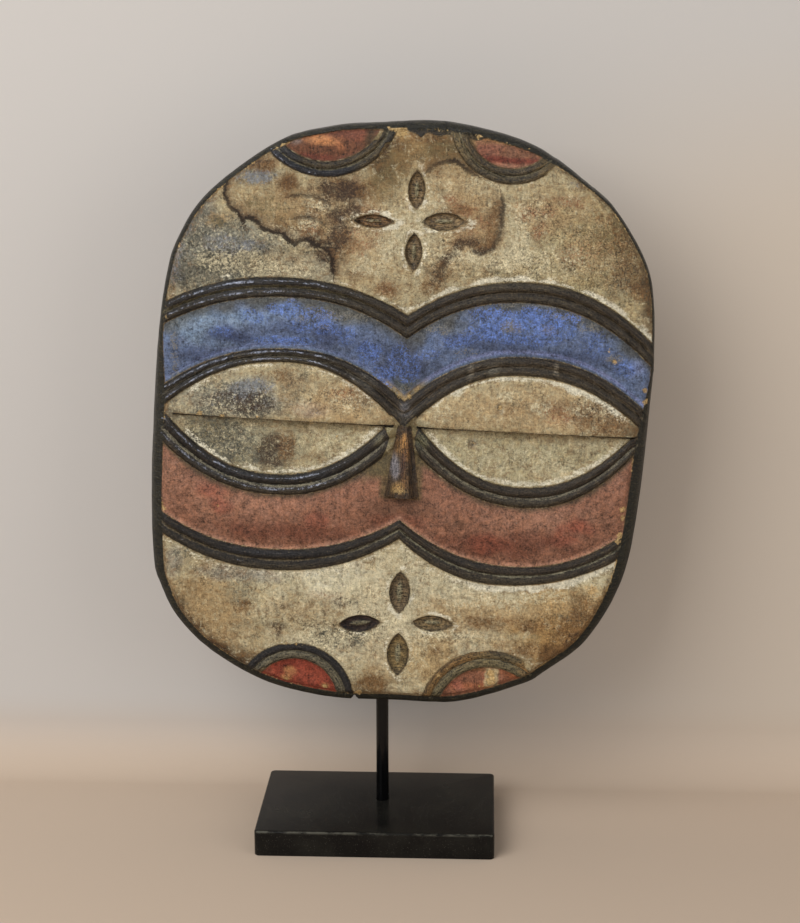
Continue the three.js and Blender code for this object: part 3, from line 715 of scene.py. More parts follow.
def make_object(name, points, faces):
    """A mesh object from points and triangles, with coincident points joined."""
    mesh = bpy.data.meshes.new(name)
    mesh.vertices.add(len(points))
    mesh.vertices.foreach_set("co", points.astype(np.float32).ravel())
    mesh.loops.add(faces.size)
    mesh.loops.foreach_set("vertex_index", faces.astype(np.int32).ravel())
    mesh.polygons.add(len(faces))
    mesh.polygons.foreach_set("loop_start", np.arange(0, faces.size, 3, dtype=np.int32))
    mesh.update(calc_edges=True)
    work = bmesh.new()
    work.from_mesh(mesh)
    bmesh.ops.remove_doubles(work, verts=work.verts, dist=MERGE_MM * MM)
    bmesh.ops.dissolve_degenerate(work, edges=work.edges, dist=MERGE_MM * MM * 0.1)
    bmesh.ops.triangulate(work, faces=work.faces)
    work.to_mesh(mesh)
    work.free()
    obj = bpy.data.objects.new(name, mesh)
    bpy.context.scene.collection.objects.link(obj)
    return obj


# Colours of the old paint, as seen in plain light, and of the painted highlights and shade

CREAM = (174, 160, 127)
PALE = (202, 192, 160)
WHITE = (216, 210, 188)
TAN = (164, 140, 102)
OCHRE = (176, 142, 88)
OLIVE = (110, 97, 66)
DARK_OLIVE = (60, 54, 39)
BROWN = (112, 82, 50)
DARK_BROWN = (54, 40, 29)
STAIN_BLACK = (36, 25, 15)
PURPLE = (67, 49, 35)
GREY = (88, 87, 77)
GREY_GREEN = (122, 117, 93)
GREY_BLUE = (120, 124, 130)
REDDISH = (138, 94, 64)
BLUE = (92, 106, 136)
COBALT = (90, 120, 194)
STEEL = (120, 140, 164)
NAVY = (56, 66, 96)
LILAC = (128, 136, 180)
BRICK = (136, 96, 77)
PINK = (160, 120, 98)
DEEP_RED = (102, 60, 46)
RED = (138, 58, 44)
BLACK = (27, 23, 20)
BLUE_BLACK = (34, 36, 42)
WORN_BLACK = (56, 50, 39)
GREY_BLACK = (72, 70, 64)
RIM_BLACK = (28, 26, 17)
BARE_WOOD = (196, 168, 118)
# GLINT and WORN_GLINT are painted highlights along the ridge crests, bluish on the left and duller on the
# right
GLINT = (133, 139, 155)
WORN_GLINT = (88, 78, 60)
WORN_RIDGE = (92, 86, 68)
INK_BROWN = (44, 37, 29)
PETAL_EDGE = (40, 33, 25)
NOSE_BROWN = (58, 43, 28)
BAND_TAN = (152, 126, 82)
# Darker olive beside the nose, also used for the painted shadow under the nose's end
BESIDE_NOSE = (90, 78, 54)
PATCH_CREAM = (184, 166, 128)
SCRAPED_GREY = (122, 118, 108)
CONTOUR_TAN = (124, 102, 70)
CRACK_BROWN = (50, 36, 27)
# Painted shade along the lower-left rim
RIM_SHADE = (46, 33, 21)
BASE_BLACK = (18, 17, 16)
BASE_DUST = (34, 33, 29)
BASE_SPECK = (84, 80, 72)
BASE_EDGE_GREY = (92, 90, 80)
ROD_BLACK = (6, 6, 7)
ROD_SMEAR = (20, 19, 19)

# Broad tones of the pale ground: place, reach across and along, colour and strength
GROUND_CLOUDS = (
    (-116, 96, 56, 30, (128, 129, 120), 0.85), (-84, 92, 26, 11, (166, 151, 121), 0.7),
    (-42, 132, 16, 20, (116, 90, 66), 0.7), (-138, 126, 12, 22, (112, 110, 102), 0.8),
    (120, 108, 44, 40, (174, 163, 125), 0.85), (-78, 130, 44, 20, (168, 154, 120), 0.8),
    (-78, 118, 24, 7, (120, 95, 60), 0.75), (-60, 111, 10, 6, (108, 80, 50), 0.7),
    (-64, 127, 12, 7, (182, 165, 128), 0.8), (153, 86, 7, 22, (60, 50, 36), 0.8),
    (-152, -10, 8, 5, (62, 52, 38), 0.9), (-14, -10.5, 9, 3, (84, 72, 52), 0.8),
    (150, -8, 9, 4, (92, 78, 56), 0.8), (-14, -191, 15, 7, (84, 62, 38), 0.8),
    (-150, -110, 6, 12, (136, 128, 122), 0.5), (36, 124, 22, 28, (158, 136, 102), 0.7),
    (8, 168, 46, 14, (140, 116, 78), 0.9), (-16, 156, 14, 24, (122, 98, 62), 0.8),
    (-79, 143, 7, 6, (96, 68, 40), 0.9), (-20, 158, 9, 12, (84, 68, 44), 0.7),
    (-8, 178, 10, 6, (170, 138, 90), 0.8), (24, 172, 18, 8, (100, 82, 54), 0.7),
    (66, 120, 14, 26, (171, 157, 124), 0.85), (-112, 2, 42, 18, (150, 147, 130), 0.8),
    (-36, 0, 42, 16, (176, 150, 110), 0.8), (76, 4, 74, 22, (184, 162, 124), 0.85),
    (-112, -28, 46, 20, (128, 127, 107), 0.8), (-40, -28, 34, 16, (160, 148, 114), 0.6),
    (70, -28, 64, 20, (166, 157, 124), 0.8), (0, -140, 96, 46, (194, 183, 154), 0.9),
    (112, -146, 36, 34, (190, 152, 98), 0.95), (-128, -146, 30, 34, (164, 141, 104), 0.85),
    (-120, -172, 30, 7, (104, 78, 48), 0.4), (-60, -150, 40, 14, (180, 164, 132), 0.5),
    (20, -170, 22, 16, (184, 158, 114), 0.8), (60, -136, 40, 12, (188, 162, 121), 0.6),
    (112, -168, 30, 10, (88, 66, 40), 0.8), (0, -26, 20, 30, (106, 97, 72), 0.9),
    (-10, -17, 3, 7, (158, 158, 126), 0.9), (12, -26, 4, 18, (68, 63, 46), 0.9),
    (-13, -36, 5, 10, (98, 90, 62), 0.8), (-60, -115, 30, 5, (206, 198, 170), 0.6),
    (-44, -117, 24, 11, (210, 208, 194), 0.7), (-104, -116, 30, 6, (134, 128, 122), 0.55),
    (62, 5, 2.0, 3.4, (72, 68, 60), 0.95), (63.6, 2.6, 1.4, 1.8, (206, 202, 180), 0.95),
    (46, -20, 3.0, 3.2, (150, 146, 128), 0.9), (43.6, -21, 1.2, 3.2, (84, 78, 64), 0.8),
    (-44, -19.5, 3.0, 1.1, (200, 194, 164), 0.9), (-41, -19, 1.1, 2.4, (200, 194, 164), 0.9),
    (-60, -2, 14, 5, (168, 148, 132), 0.5), (100, 8, 8, 4, (128, 98, 72), 0.5),
    (-66, 113, 3, 3, (112, 78, 52), 0.8),
)

# Washes over the pale ground. Each breaks up into flecks of its own size where it thins out:
# colour, size of the flecks, and the places with their reach across and along and their strength.
WASHES = {
    "tan": (TAN, 3.6, (
        (-100, 134, 30, 14, 0.5), (-66, 128, 22, 16, 0.5), (-20, 100, 30, 26, 0.35),
        (36, 124, 22, 26, 0.5), (86, 132, 26, 18, 0.42), (112, 116, 40, 34, 0.4),
        (118, 150, 16, 8, 0.6), (20, 150, 20, 16, 0.5), (-40, 0, 38, 14, 0.5), (-72, 14, 16, 9, 0.5),
        (72, 2, 52, 16, 0.45), (30, -4, 20, 7, 0.45), (-128, -146, 30, 22, 0.5),
        (-60, -140, 30, 12, 0.4), (54, -136, 50, 14, 0.45), (110, -128, 40, 14, 0.5),
        (30, -164, 16, 20, 0.6), (-12, -184, 14, 10, 0.5), (-30, -100, 20, 6, 0.3),
        (70, -34, 34, 6, 0.25), (-122, 118, 12, 6, 0.6), (-30, -122, 14, 8, 0.3),
    )),
    "olive": (OLIVE, 3.6, (
        (-30, 146, 22, 10, 0.3), (-14, 156, 9, 22, 0.45), (-20, 174, 12, 9, 0.7),
        (22, 166, 18, 9, 0.55), (38, 158, 10, 10, 0.5), (120, 104, 40, 36, 0.48), (60, 90, 30, 6, 0.4),
        (-110, 92, 40, 14, 0.4), (-60, -13.5, 70, 3.4, 0.5), (80, -13.5, 62, 2.6, 0.42),
        (0, -18, 17, 9, 0.8), (16, -34, 5, 14, 0.6), (-70, -150, 40, 9, 0.35), (60, -30, 50, 8, 0.25),
        (-132, -20, 16, 8, 0.4), (-92, 128, 22, 8, 0.45), (132, 128, 14, 16, 0.5),
        (90, -146, 34, 10, 0.35), (-122, 117, 6, 4, 0.6), (-120, -30, 34, 14, 0.4),
    )),
    "grey": (GREY, 2.4, (
        (-122, 98, 40, 26, 0.56), (-150, 96, 9, 24, 0.5), (-140, 122, 12, 22, 0.5),
        (-138, 82, 24, 10, 0.5), (-103, 148, 16, 8, 0.4), (-116, 0, 38, 14, 0.66),
        (-96, -1, 18, 8, 0.6), (-70, 12, 14, 10, 0.4), (-118, -28, 36, 15, 0.6),
        (-96, -36, 22, 8, 0.45), (-148, -112, 10, 10, 0.26), (-108, -117, 34, 7, 0.34),
        (-42, -158, 26, 11, 0.5), (118, -134, 12, 9, 0.4), (-56, 96, 14, 10, 0.3),
        (134, 86, 14, 9, 0.35), (-128, -104, 26, 7, 0.4), (-104, -132, 12, 7, 0.4),
        (-40, -132, 16, 5, 0.4),
    )),
    "blue_grey": (GREY_BLUE, 2.6, (
        (-152, 94, 9, 20, 0.55), (-108, 147, 22, 6, 0.5), (-96, 147, 8, 5, 0.5),
        (-120, 104, 18, 9, 0.5), (-98, 13, 12, 5, 0.6), (-106, 9, 12, 6, 0.5), (-58, -4, 9, 4, 0.35),
        (104, 150, 8, 4, 0.4), (-150, -106, 5, 9, 0.16), (-106, 2, 30, 10, 0.36),
        (-102, 102, 12, 5, 0.5), (-146, 112, 8, 14, 0.6),
    )),
    "reddish": (REDDISH, 2.4, (
        (-30, 107, 14, 12, 0.42), (-14, 79, 9, 6, 0.5), (24, 137, 8, 4, 0.5), (34, 131, 8, 4, 0.5),
        (46, 125, 8, 6, 0.4), (72, 131, 8, 7, 0.48), (84, 132, 10, 5, 0.5), (82, 122, 6, 6, 0.48),
        (80, 117, 5, 5, 0.5), (96, 140, 16, 4, 0.45), (104, 136, 10, 4, 0.45), (110, 108, 26, 14, 0.38),
        (-38, 8, 12, 7, 0.45), (98, 2, 9, 6, 0.5), (112, 0, 12, 8, 0.32), (-48, -127, 16, 3, 0.35),
        (-26, 128, 12, 8, 0.4), (-64, 116, 10, 12, 0.45), (36, 116, 14, 14, 0.36),
    )),
    "brown": (BROWN, 2.6, (
        (-100, 154, 14, 6, 0.8), (-79, 143, 9, 7, 0.9), (-80, 133, 12, 4, 0.5), (-66, 113, 4, 4, 0.6),
        (-60, 132, 12, 8, 0.5), (-34, 86, 9, 5, 0.55), (-12, 78, 9, 7, 0.6), (-44, 106, 10, 14, 0.6),
        (12, 158, 7, 10, 0.5), (122, 131, 12, 8, 0.45), (138, 104, 12, 22, 0.45), (147, 84, 9, 9, 0.6),
        (126, 118, 16, 14, 0.3), (22, 92, 11, 9, 0.5), (14, 82, 9, 7, 0.55), (-78, 18, 9, 6, 0.55),
        (-24, 4, 9, 5, 0.45), (-29, 9, 9, 7, 0.4), (126, -1, 26, 12, 0.45), (136, -5, 14, 6, 0.55),
        (-76, -29, 6, 9, 0.7), (-56, -33, 7, 5, 0.42), (-44, -36, 9, 4, 0.4), (-124, -160, 18, 6, 0.2),
        (-104, -150, 12, 9, 0.24), (-102, -138, 9, 6, 0.6), (-15, -188, 13, 6, 0.66),
        (-10, -170, 6, 18, 0.3), (104, -140, 32, 7, 0.38), (72, -142, 26, 6, 0.46),
        (116, -152, 22, 10, 0.55), (98, -160, 16, 7, 0.5), (124, -128, 14, 12, 0.5),
        (52, -140, 14, 5, 0.4), (28, -163, 4, 3, 0.7), (-118, 146, 10, 8, 0.5), (-34, 140, 10, 8, 0.6),
        (-8, 170, 7, 8, 0.5), (76, -160, 16, 8, 0.4), (-110, -174, 30, 4, 0.4), (-74, -190, 30, 6, 0.6),
        (118, -164, 22, 9, 0.8), (8, 176, 16, 5, 0.6), (128, 100, 24, 26, 0.2), (24, 128, 6, 6, 0.6),
        (33, 132, 6, 5, 0.6), (94, 126, 16, 9, 0.3), (-136, -128, 8, 18, 0.3),
        (126, -140, 14, 16, 0.45), (-52, 146, 10, 4, 0.5), (51, 119, 6, 14, 0.66), (53, 133, 4, 9, 0.6),
        (45, 109, 9, 4, 0.6), (-14, 122, 6, 8, 0.3), (100, 6, 40, 8, 0.45),
    )),
    "dark": (PURPLE, 2.6, (
        (-47, 140, 16, 7, 0.8), (-38, 128, 9, 9, 0.7), (-49, 122, 9, 8, 0.66), (-46, 112, 7, 7, 0.68),
        (-50, 104, 6, 6, 0.55), (-50, 92, 3, 10, 0.42), (-68, 18, 9, 6, 0.45), (-87, -32, 11, 11, 0.56),
        (-84, -40, 12, 4, 0.55), (-84, -22, 7, 4, 0.45), (36, 112, 8, 5, 0.36), (17, 87, 5, 7, 0.5),
        (30, 109, 5, 4, 0.66), (38, 111, 4, 3, 0.6), (23, 99, 4, 4, 0.62), (44, 105, 4, 3, 0.66),
        (-75, -137, 6, 3, 0.5), (-80, -151, 8, 3, 0.55), (-78, -156, 3, 4, 0.55),
        (-36, -134, 6, 2, 0.36), (-32, -129.5, 8, 1.2, 0.5), (120, -150, 14, 6, 0.45),
        (-100, 156, 8, 3, 0.5), (-116, -1, 34, 9, 0.4), (-60, 106, 8, 3, 0.5), (-96, 2, 20, 10, 0.4),
        (28, 104, 6, 4, 0.4), (-56, 98, 5, 5, 0.6), (20, 95, 4, 6, 0.4), (57, 118, 3, 9, 0.4),
        (57, 131, 3, 8, 0.4), (49, 107, 7, 3, 0.4), (44, 112, 8, 4, 0.26), (-64, 124, 4, 3, 0.5),
        (-12, 170, 3, 4, 0.6), (-18, 168, 4, 8, 0.5), (140, 96, 10, 14, 0.3),
    )),
    "pale": (PALE, 2.4, (
        (66, 124, 9, 26, 0.44), (48, 100, 26, 9, 0.5), (70, 108, 12, 9, 0.55), (-26, 92, 14, 9, 0.5),
        (8, 122, 26, 30, 0.45), (-60, 132, 10, 8, 0.5), (-64, 122, 9, 7, 0.5), (90, 100, 40, 12, 0.42),
        (-44, -118, 34, 14, 0.66), (-20, -140, 30, 24, 0.52), (10, -150, 26, 34, 0.52),
        (36, -112, 30, 7, 0.6), (-60, -158, 30, 10, 0.5), (-6, -100, 20, 10, 0.5),
        (60, -126, 30, 8, 0.5), (130, -108, 22, 8, 0.55), (-30, 4, 30, 8, 0.42), (66, 12, 9, 5, 0.55),
        (86, 6, 9, 5, 0.5), (26, 0, 12, 6, 0.45), (-110, -104, 34, 5, 0.42), (-108, 88, 44, 10, 0.36),
        (-76, 112, 30, 7, 0.42), (118, 6, 28, 9, 0.45), (70, -30, 60, 14, 0.42),
        (-40, -26, 34, 14, 0.42), (60, 150, 30, 5, 0.5), (-112, -2, 40, 14, 0.36),
        (-110, -26, 40, 12, 0.3), (-50, -178, 26, 20, 0.42), (-120, 104, 40, 20, 0.26),
        (-14, 104, 10, 8, 0.5), (34, 102, 14, 6, 0.5), (44, -152, 20, 3, 0.5), (100, -122, 26, 4, 0.5),
        (18, -122, 14, 5, 0.5), (-70, 88, 40, 5, 0.4),
    )),
}

# Soft clouds of colour in the bands and in the black paint: place, reach, colour and strength
BLUE_CLOUDS = (
    (-140, 48, 16, 12, STEEL, 0.8), (-112, 57, 22, 7, STEEL, 0.7), (-126, 40, 16, 6, STEEL, 0.4),
    (-84, 62, 20, 6, STEEL, 0.4), (-114, 43, 16, 6, NAVY, 0.85), (-50, 46, 14, 8, NAVY, 0.7),
    (0, 30, 20, 16, (64, 71, 92), 0.8), (0, 15, 10, 7, (82, 86, 84), 0.8), (-30, 40, 14, 8, NAVY, 0.3),
    (118, 38, 30, 8, NAVY, 0.35), (150, 36, 8, 7, LILAC, 0.4), (60, 46, 34, 6, NAVY, 0.45),
    (90, 40, 30, 4, NAVY, 0.3), (-44, 62, 26, 7, (100, 100, 92), 0.7), (-134, 30, 16, 5, NAVY, 0.5),
    (-152, 54, 8, 8, STEEL, 0.8), (-76, 50, 14, 5, (70, 82, 112), 0.6),
    (30, 56, 12, 5, (96, 102, 112), 0.6), (-96, 70, 30, 4, (104, 106, 104), 0.6),
)

# Strong blue left in the band, and where it is scraped off
COBALT_PLACES = (
    (-82, 62, 9, 4, 0.75), (-74, 62, 9, 6, 0.6), (-56, 60, 12, 6, 0.7), (-98, 57, 10, 6, 0.5),
    (-120, 47, 10, 5, 0.45), (-76, 42, 26, 3, 0.8), (-60, 52, 16, 5, 0.5), (-38, 48, 8, 8, 0.5),
    (-24, 36, 9, 9, 0.7), (-14, 24, 10, 6, 0.65), (-20, 16, 12, 3, 0.7), (-6, 34, 8, 12, 0.45),
    (30, 46, 8, 4, 0.6), (14, 38, 8, 4, 0.5), (56, 58, 14, 12, 0.75), (80, 62, 22, 8, 0.8),
    (70, 50, 18, 5, 0.8), (90, 52, 12, 8, 0.65), (104, 60, 14, 8, 0.55), (44, 52, 12, 6, 0.65),
    (120, 50, 16, 8, 0.4), (140, 34, 9, 6, 0.4), (4, 26, 8, 10, 0.5), (60, 66, 20, 3, 0.5),
)
SCRAPED_PLACES = (
    (66, 58, 8, 5, 0.9), (91, 57, 6, 5, 0.8), (-68, 56, 6, 4, 0.5), (-53, 53, 5, 3, 0.5),
    (-90, 71, 40, 3, 0.6), (-40, 60, 24, 5, 0.55), (74, 72, 36, 2.5, 0.5), (116, 60, 10, 4, 0.5),
    (134, 40, 7, 4, 0.6), (-150, 30, 4, 20, 0.5), (100, 66, 20, 3, 0.5), (20, 54, 12, 4, 0.5),
    (36, 40, 16, 5, 0.35), (0, 12, 14, 5, 0.5),
)

# Tones of the lower band, and of the four sunk fields from the upper left to the lower right
RED_CLOUDS = (
    (-110, -66, 46, 12, PINK, 0.3), (90, -68, 46, 9, PINK, 0.35), (-125, -62, 12, 7, RED, 0.3),
    (-118, -70, 9, 5, RED, 0.3), (-55, -77, 10, 6, RED, 0.25), (115, -74, 12, 6, RED, 0.4),
    (106, -82, 12, 5, RED, 0.3), (60, -88, 14, 6, RED, 0.4), (-70, -86, 46, 7, DEEP_RED, 0.6),
    (72, -88, 44, 9, DEEP_RED, 0.55), (0, -66, 20, 6, DARK_BROWN, 0.25),
    (0, -59, 14, 3, DARK_BROWN, 0.5), (38, -73, 8, 5, DARK_BROWN, 0.3), (0, -76, 20, 6, DEEP_RED, 0.5),
    (-150, -50, 9, 10, PINK, 0.3),
)
FIELD_TONES = ((102, 66, 48), (126, 88, 68), (129, 60, 45), (134, 90, 69))

# Outer and inner ridge of each motif
MOTIF_INK = (
    ((28, 29, 34), (58, 50, 36)), ((74, 64, 46), (68, 58, 42)), ((31, 29, 29), (86, 80, 64)),
    ((98, 75, 44), (90, 82, 60)),
)
FIELD_CLOUDS = (
    (-58, 171, 10, 3, (178, 122, 80), 0.9), (-46, 168, 4, 6, (168, 110, 74), 0.6),
    (-75, 170, 4, 2.5, GREY_BLUE, 0.5), (-62, 160, 22, 2.5, (110, 54, 44), 0.6),
    (-38, 176, 14, 5, (126, 74, 60), 0.6), (-28, 174, 4, 9, DARK_OLIVE, 0.6),
    (55, 175, 26, 3, (174, 138, 88), 0.8), (62, 163, 24, 2.2, (104, 46, 37), 0.8),
    (60, 159.6, 24, 1.4, (170, 122, 98), 0.8), (44, 170, 9, 6, (132, 82, 70), 0.5),
    (36, 172, 3, 9, OLIVE, 0.6), (-70, -183, 4, 3, OCHRE, 0.7), (-72, -188, 4, 2.5, OCHRE, 0.8),
    (-46, -192, 3, 2, OCHRE, 0.8), (-84, -184, 5, 3, (152, 92, 72), 0.5),
    (48, -187, 13, 3, (168, 102, 68), 0.7), (66, -188, 9, 2, (158, 110, 62), 0.6),
    (50, -175, 12, 2, (110, 90, 54), 0.6), (38, -180, 3, 3, OCHRE, 0.9),
    (80, -178, 9, 4, (148, 90, 58), 0.7), (42, -187, 5, 4, (150, 92, 84), 0.5),
    (-60, -186, 16, 5, (150, 80, 62), 0.4),
)

# Cream patch in the lower right field: left, right, foot and top
CREAM_PATCH = (61.2, 70.2, -187.5, -173.5)

# Tones of the black paint
INK_CLOUDS = (
    (-118, 76, 36, 10, (42, 42, 44), 0.8), (-40, 66, 30, 16, WORN_BLACK, 0.5),
    (70, 84, 60, 4, WORN_BLACK, 0.8), (90, 72, 60, 8, WORN_BLACK, 0.4),
    (-128, 20, 26, 12, BLUE_BLACK, 0.7), (-80, 30, 40, 4, WORN_BLACK, 0.7),
    (-28, 18, 10, 8, GREY_BLACK, 0.7), (60, 30, 60, 8, WORN_BLACK, 0.5),
    (120, 18, 30, 10, WORN_BLACK, 0.4), (-90, -46, 60, 5, BLUE_BLACK, 0.6),
    (-90, -60, 60, 4, WORN_BLACK, 0.7), (90, -60, 60, 4, WORN_BLACK, 0.6),
    (-84, -112, 60, 4, WORN_BLACK, 0.8), (-84, -100, 60, 3, BLUE_BLACK, 0.5),
    (80, -113, 60, 4, WORN_BLACK, 0.8), (-82, 158, 9, 10, BLUE_BLACK, 0.8),
    (-22, 172, 12, 12, DARK_OLIVE, 0.8), (60, 154, 32, 9, WORN_BLACK, 0.6),
    (22, 166, 12, 16, (104, 90, 62), 0.9), (90, 160, 14, 10, (86, 72, 48), 0.8),
    (-30, 164, 12, 14, (66, 56, 38), 0.9), (57, 29, 5, 5, (92, 88, 78), 0.8),
    (42, 27, 1.6, 6, (104, 98, 86), 0.8), (97, 31, 1.4, 5, (120, 112, 98), 0.8),
    (-30, -110, 30, 4, (66, 54, 41), 0.8), (0.5, 0, 4.5, 6, (96, 95, 98), 0.9),
    (-16, -17, 6, 9, (92, 88, 70), 0.9), (13, -21, 6, 8, (88, 86, 66), 0.9),
    (76, -164, 14, 5, (30, 26, 22), 0.9), (-70, -163, 20, 3, (28, 26, 26), 0.7),
    (60, -100, 50, 4, (36, 33, 30), 0.7), (92, -172, 10, 10, (120, 92, 56), 0.8),
    (40, -168, 20, 5, (110, 84, 50), 0.7), (66, -166, 20, 4, OLIVE, 0.6),
    (0, -80, 14, 8, WORN_BLACK, 0.4),
)

# Where the pale ground is rough with fine dark specks
SPECKLED = (
    (-128, 90, 36, 22, 0.9), (-84, 94, 30, 12, 0.6), (122, 106, 34, 34, 0.9), (82, 98, 34, 12, 0.8),
    (84, 128, 20, 12, 0.7), (-50, 124, 20, 22, 0.7), (-108, 0, 30, 12, 1.0), (-50, 6, 24, 8, 0.5),
    (126, 2, 30, 10, 0.9), (68, 10, 10, 5, 0.4), (-118, -26, 34, 14, 0.9), (-76, -28, 14, 8, 0.6),
    (100, -26, 30, 10, 0.3), (-40, -156, 24, 12, 0.7), (-20, -126, 16, 8, 0.5), (40, -152, 24, 5, 0.6),
    (112, -138, 34, 16, 0.5), (-116, -118, 30, 10, 0.4), (-72, -142, 30, 12, 0.5),
    (24, 100, 24, 16, 0.6), (40, 140, 16, 10, 0.4), (-14, -150, 16, 16, 0.5),
)

# Edges of old damp stains. Each runs with its stained side on its left, and has a strength.
TIDE_LINES = (
    ((
        (-121, 148), (-119, 140), (-120, 134), (-116, 127), (-110, 123), (-108, 118), (-105, 120.5),
        (-100, 119.5), (-95, 114), (-88, 112), (-82, 111), (-79, 108), (-74, 105), (-68, 108),
        (-64, 108), (-62, 105), (-57, 104), (-52, 101), (-50, 96), (-49, 88),
    ), 1.0),
    (((41, 105), (45, 103.5), (52, 107.5), (56, 115), (57.5, 125), (58, 135), (56.5, 141)), 0.62),
    (((18, 89), (20, 94), (26, 100), (29, 107), (35, 111), (39, 108)), 0.28),
    (((10, 155), (13, 158), (20, 161), (27, 161), (32, 157), (38, 154)), 0.75),
    (((-76, 135), (-70, 136), (-62, 135), (-56, 133)), 0.6),
    (((-73, 121), (-66, 122), (-60, 121), (-56, 118)), 0.6),
    (((-58, 115), (-61, 110), (-57, 106), (-52, 106)), 0.5),
    (((-60, 100), (-58, 97), (-55, 95)), 0.5),
)
TIDE_REACH = 12.0

# Chips down to bare wood: place and radius
CHIPS = (
    (-9, 179, 4.5), (-15, 181, 3.0), (134, 38, 2.0), (130, 45, 1.2), (155, 20, 2.4), (156, 12, 2.2),
    (-133, -8, 2.2), (-118, -9, 1.8), (-95, -8.6, 1.4), (-60, -9.4, 1.2), (62, 5, 1.8),
    (-120, -70, 1.0), (146, -60, 2.2), (146, -66, 1.8), (145, -78, 2.2), (-157, -75, 1.8),
    (144, -82, 2.2), (-73, -163.2, 0.8), (-70, -162.8, 0.9), (-66, -162.8, 0.9), (-62, -163.8, 0.7),
    (-44, -169.4, 0.8), (-40, -172, 0.7), (65.5, -178, 3.2), (65.5, -183, 3.2), (-23, -196, 2.6),
    (40, 177, 1.8), (58, 176, 2.0), (72, 172, 1.8), (46, -20, 1.4), (-43, -20, 1.2), (-37, 9, 0.6),
    (3, 9, 1.8), (-4, 9, 1.6), (-72, -189, 1.6), (-46, -193, 1.8), (30, -180, 1.4), (36, -174, 1.2),
    (58, -187, 1.4), (90, 88, 0.8), (-156, 54, 1.4),
)

PAIRS = tuple(zone[:2] for zone in ZONES if zone[2] is ridge_pair)
POUCH_FADE = 12.0

# Worn groove of each ridge pair: its place, half its width and its colour on the left and right
GROOVES = (
    (0.46, 1.1, (70, 64, 46), (58, 50, 38)), (0.46, 0.9, (72, 68, 58), (74, 66, 54)),
    (0.56, 0.8, (108, 102, 84), (96, 90, 74)), (0.5, 0.8, (80, 70, 52), (108, 104, 86)),
)
# Places across each ridge pair of the painted highlights along its crests
CREST_PLACES = (0.18, 0.7)

# Colour of each petal's floor, worn places of the black paint, and tones of the nose
PETAL_TONES = (
    (100, 83, 58), (94, 79, 57), (110, 92, 66), (98, 75, 50), (94, 80, 59), (102, 86, 56), (38, 27, 23),
    (104, 88, 62),
)
FADED_INK = (
    (18, 168, 6, 12, 0.7), (25, 158, 5, 5, 0.5), (92, -172, 6, 9, 0.8), (94, 158, 8, 5, 0.5),
    (24, -176, 4, 6, 0.5), (30, -166, 5, 3, 0.5), (-20, 172, 5, 8, 0.45), (-90, -182, 4, 6, 0.5),
    (52, -160, 8, 2, 0.4), (-71, -163, 6, 1.2, 0.14),
)
# Tones of the nose: its own browns and ochres, with painted highlights on its lit middle and left facets and
# painted shade down its right side
NOSE_TONE_AND_LIGHT_CLOUDS = (
    (1, -20, 2.4, 9, (150, 110, 62), 0.9), (-3, -26, 2.6, 9, (128, 96, 58), 0.8),
    (3, -28, 1.6, 10, (120, 84, 48), 0.8), (-4, -38, 3.4, 10, (112, 110, 116), 0.9),
    (1, -36, 1.2, 10, (66, 44, 34), 0.8), (-2, -50, 5, 4, (142, 112, 68), 0.9),
    (3, -47, 2.6, 6, (120, 86, 50), 0.7), (-7.5, -48, 2, 8, (58, 46, 32), 0.8),
    (8, -40, 2.4, 18, (44, 33, 22), 0.9), (0, -12, 6, 3, (52, 40, 28), 0.9),
    (-1, -53, 7, 1.6, (166, 140, 92), 0.7),
)


# Depth in the board from which its side is plain black down to the bare back, how far the face's
# paint runs over the rim's bevel, and how deep the black lies on the side
SIDE_START_Y = -1.0
BEVEL_PAINT_REACH = 1.6
SIDE_INK = 4.0


def reach_of(u, v, middle_u, middle_v, across, along, seed):
    """How near a place is to the middle of a soft cloud: 1 inside it, 0 far from it."""
    away = np.hypot((u - middle_u) / across, (v - middle_v) / along)
    ragged = 0.3 * cloud(u, v, 13, seed) + 0.22 * cloud(u, v, 5, seed + 1)
    return smooth(1.35, 0.35, away + ragged)


def toward(tone, colour, amount):
    """Moves a tone towards a colour by an amount for each place."""
    return mix(np.asarray(tone, float), np.asarray(colour, float), amount[:, None])


def where_tone(chosen, colour, tone):
    """The colour at the chosen places and the tone at all others."""
    return np.where(chosen[:, None], colour, tone)


def tinted(start, clouds, u, v, seed):
    """A tone with soft clouds of other colours laid over it."""
    tone = np.broadcast_to(np.array(start, float), (len(u), 3))
    for index, (middle_u, middle_v, across, along, colour, strength) in enumerate(clouds):
        near = reach_of(u, v, middle_u, middle_v, across, along, seed + index % 9)
        tone = toward(tone, colour, near * strength)
    return tone


def gathered(places, u, v, seed):
    """How much several soft clouds cover each place together."""
    amount = np.zeros(u.shape)
    for index, (middle_u, middle_v, across, along, strength) in enumerate(places):
        near = strength * reach_of(u, v, middle_u, middle_v, across, along, seed + index % 9)
        amount = 1 - (1 - amount) * (1 - near)
    return amount


def across_line(name, u):
    """Shrinks a height above a line to the distance from it."""
    slope = line_at(name, u + 0.5) - line_at(name, u - 0.5)
    return 1 / np.sqrt(1 + slope ** 2)


def above_line(name, u, v):
    return (v - line_at(name, u)) * across_line(name, u)


def inside_zone(upper, lower, u, v):
    return np.minimum(-above_line(upper, u, v), above_line(lower, u, v))


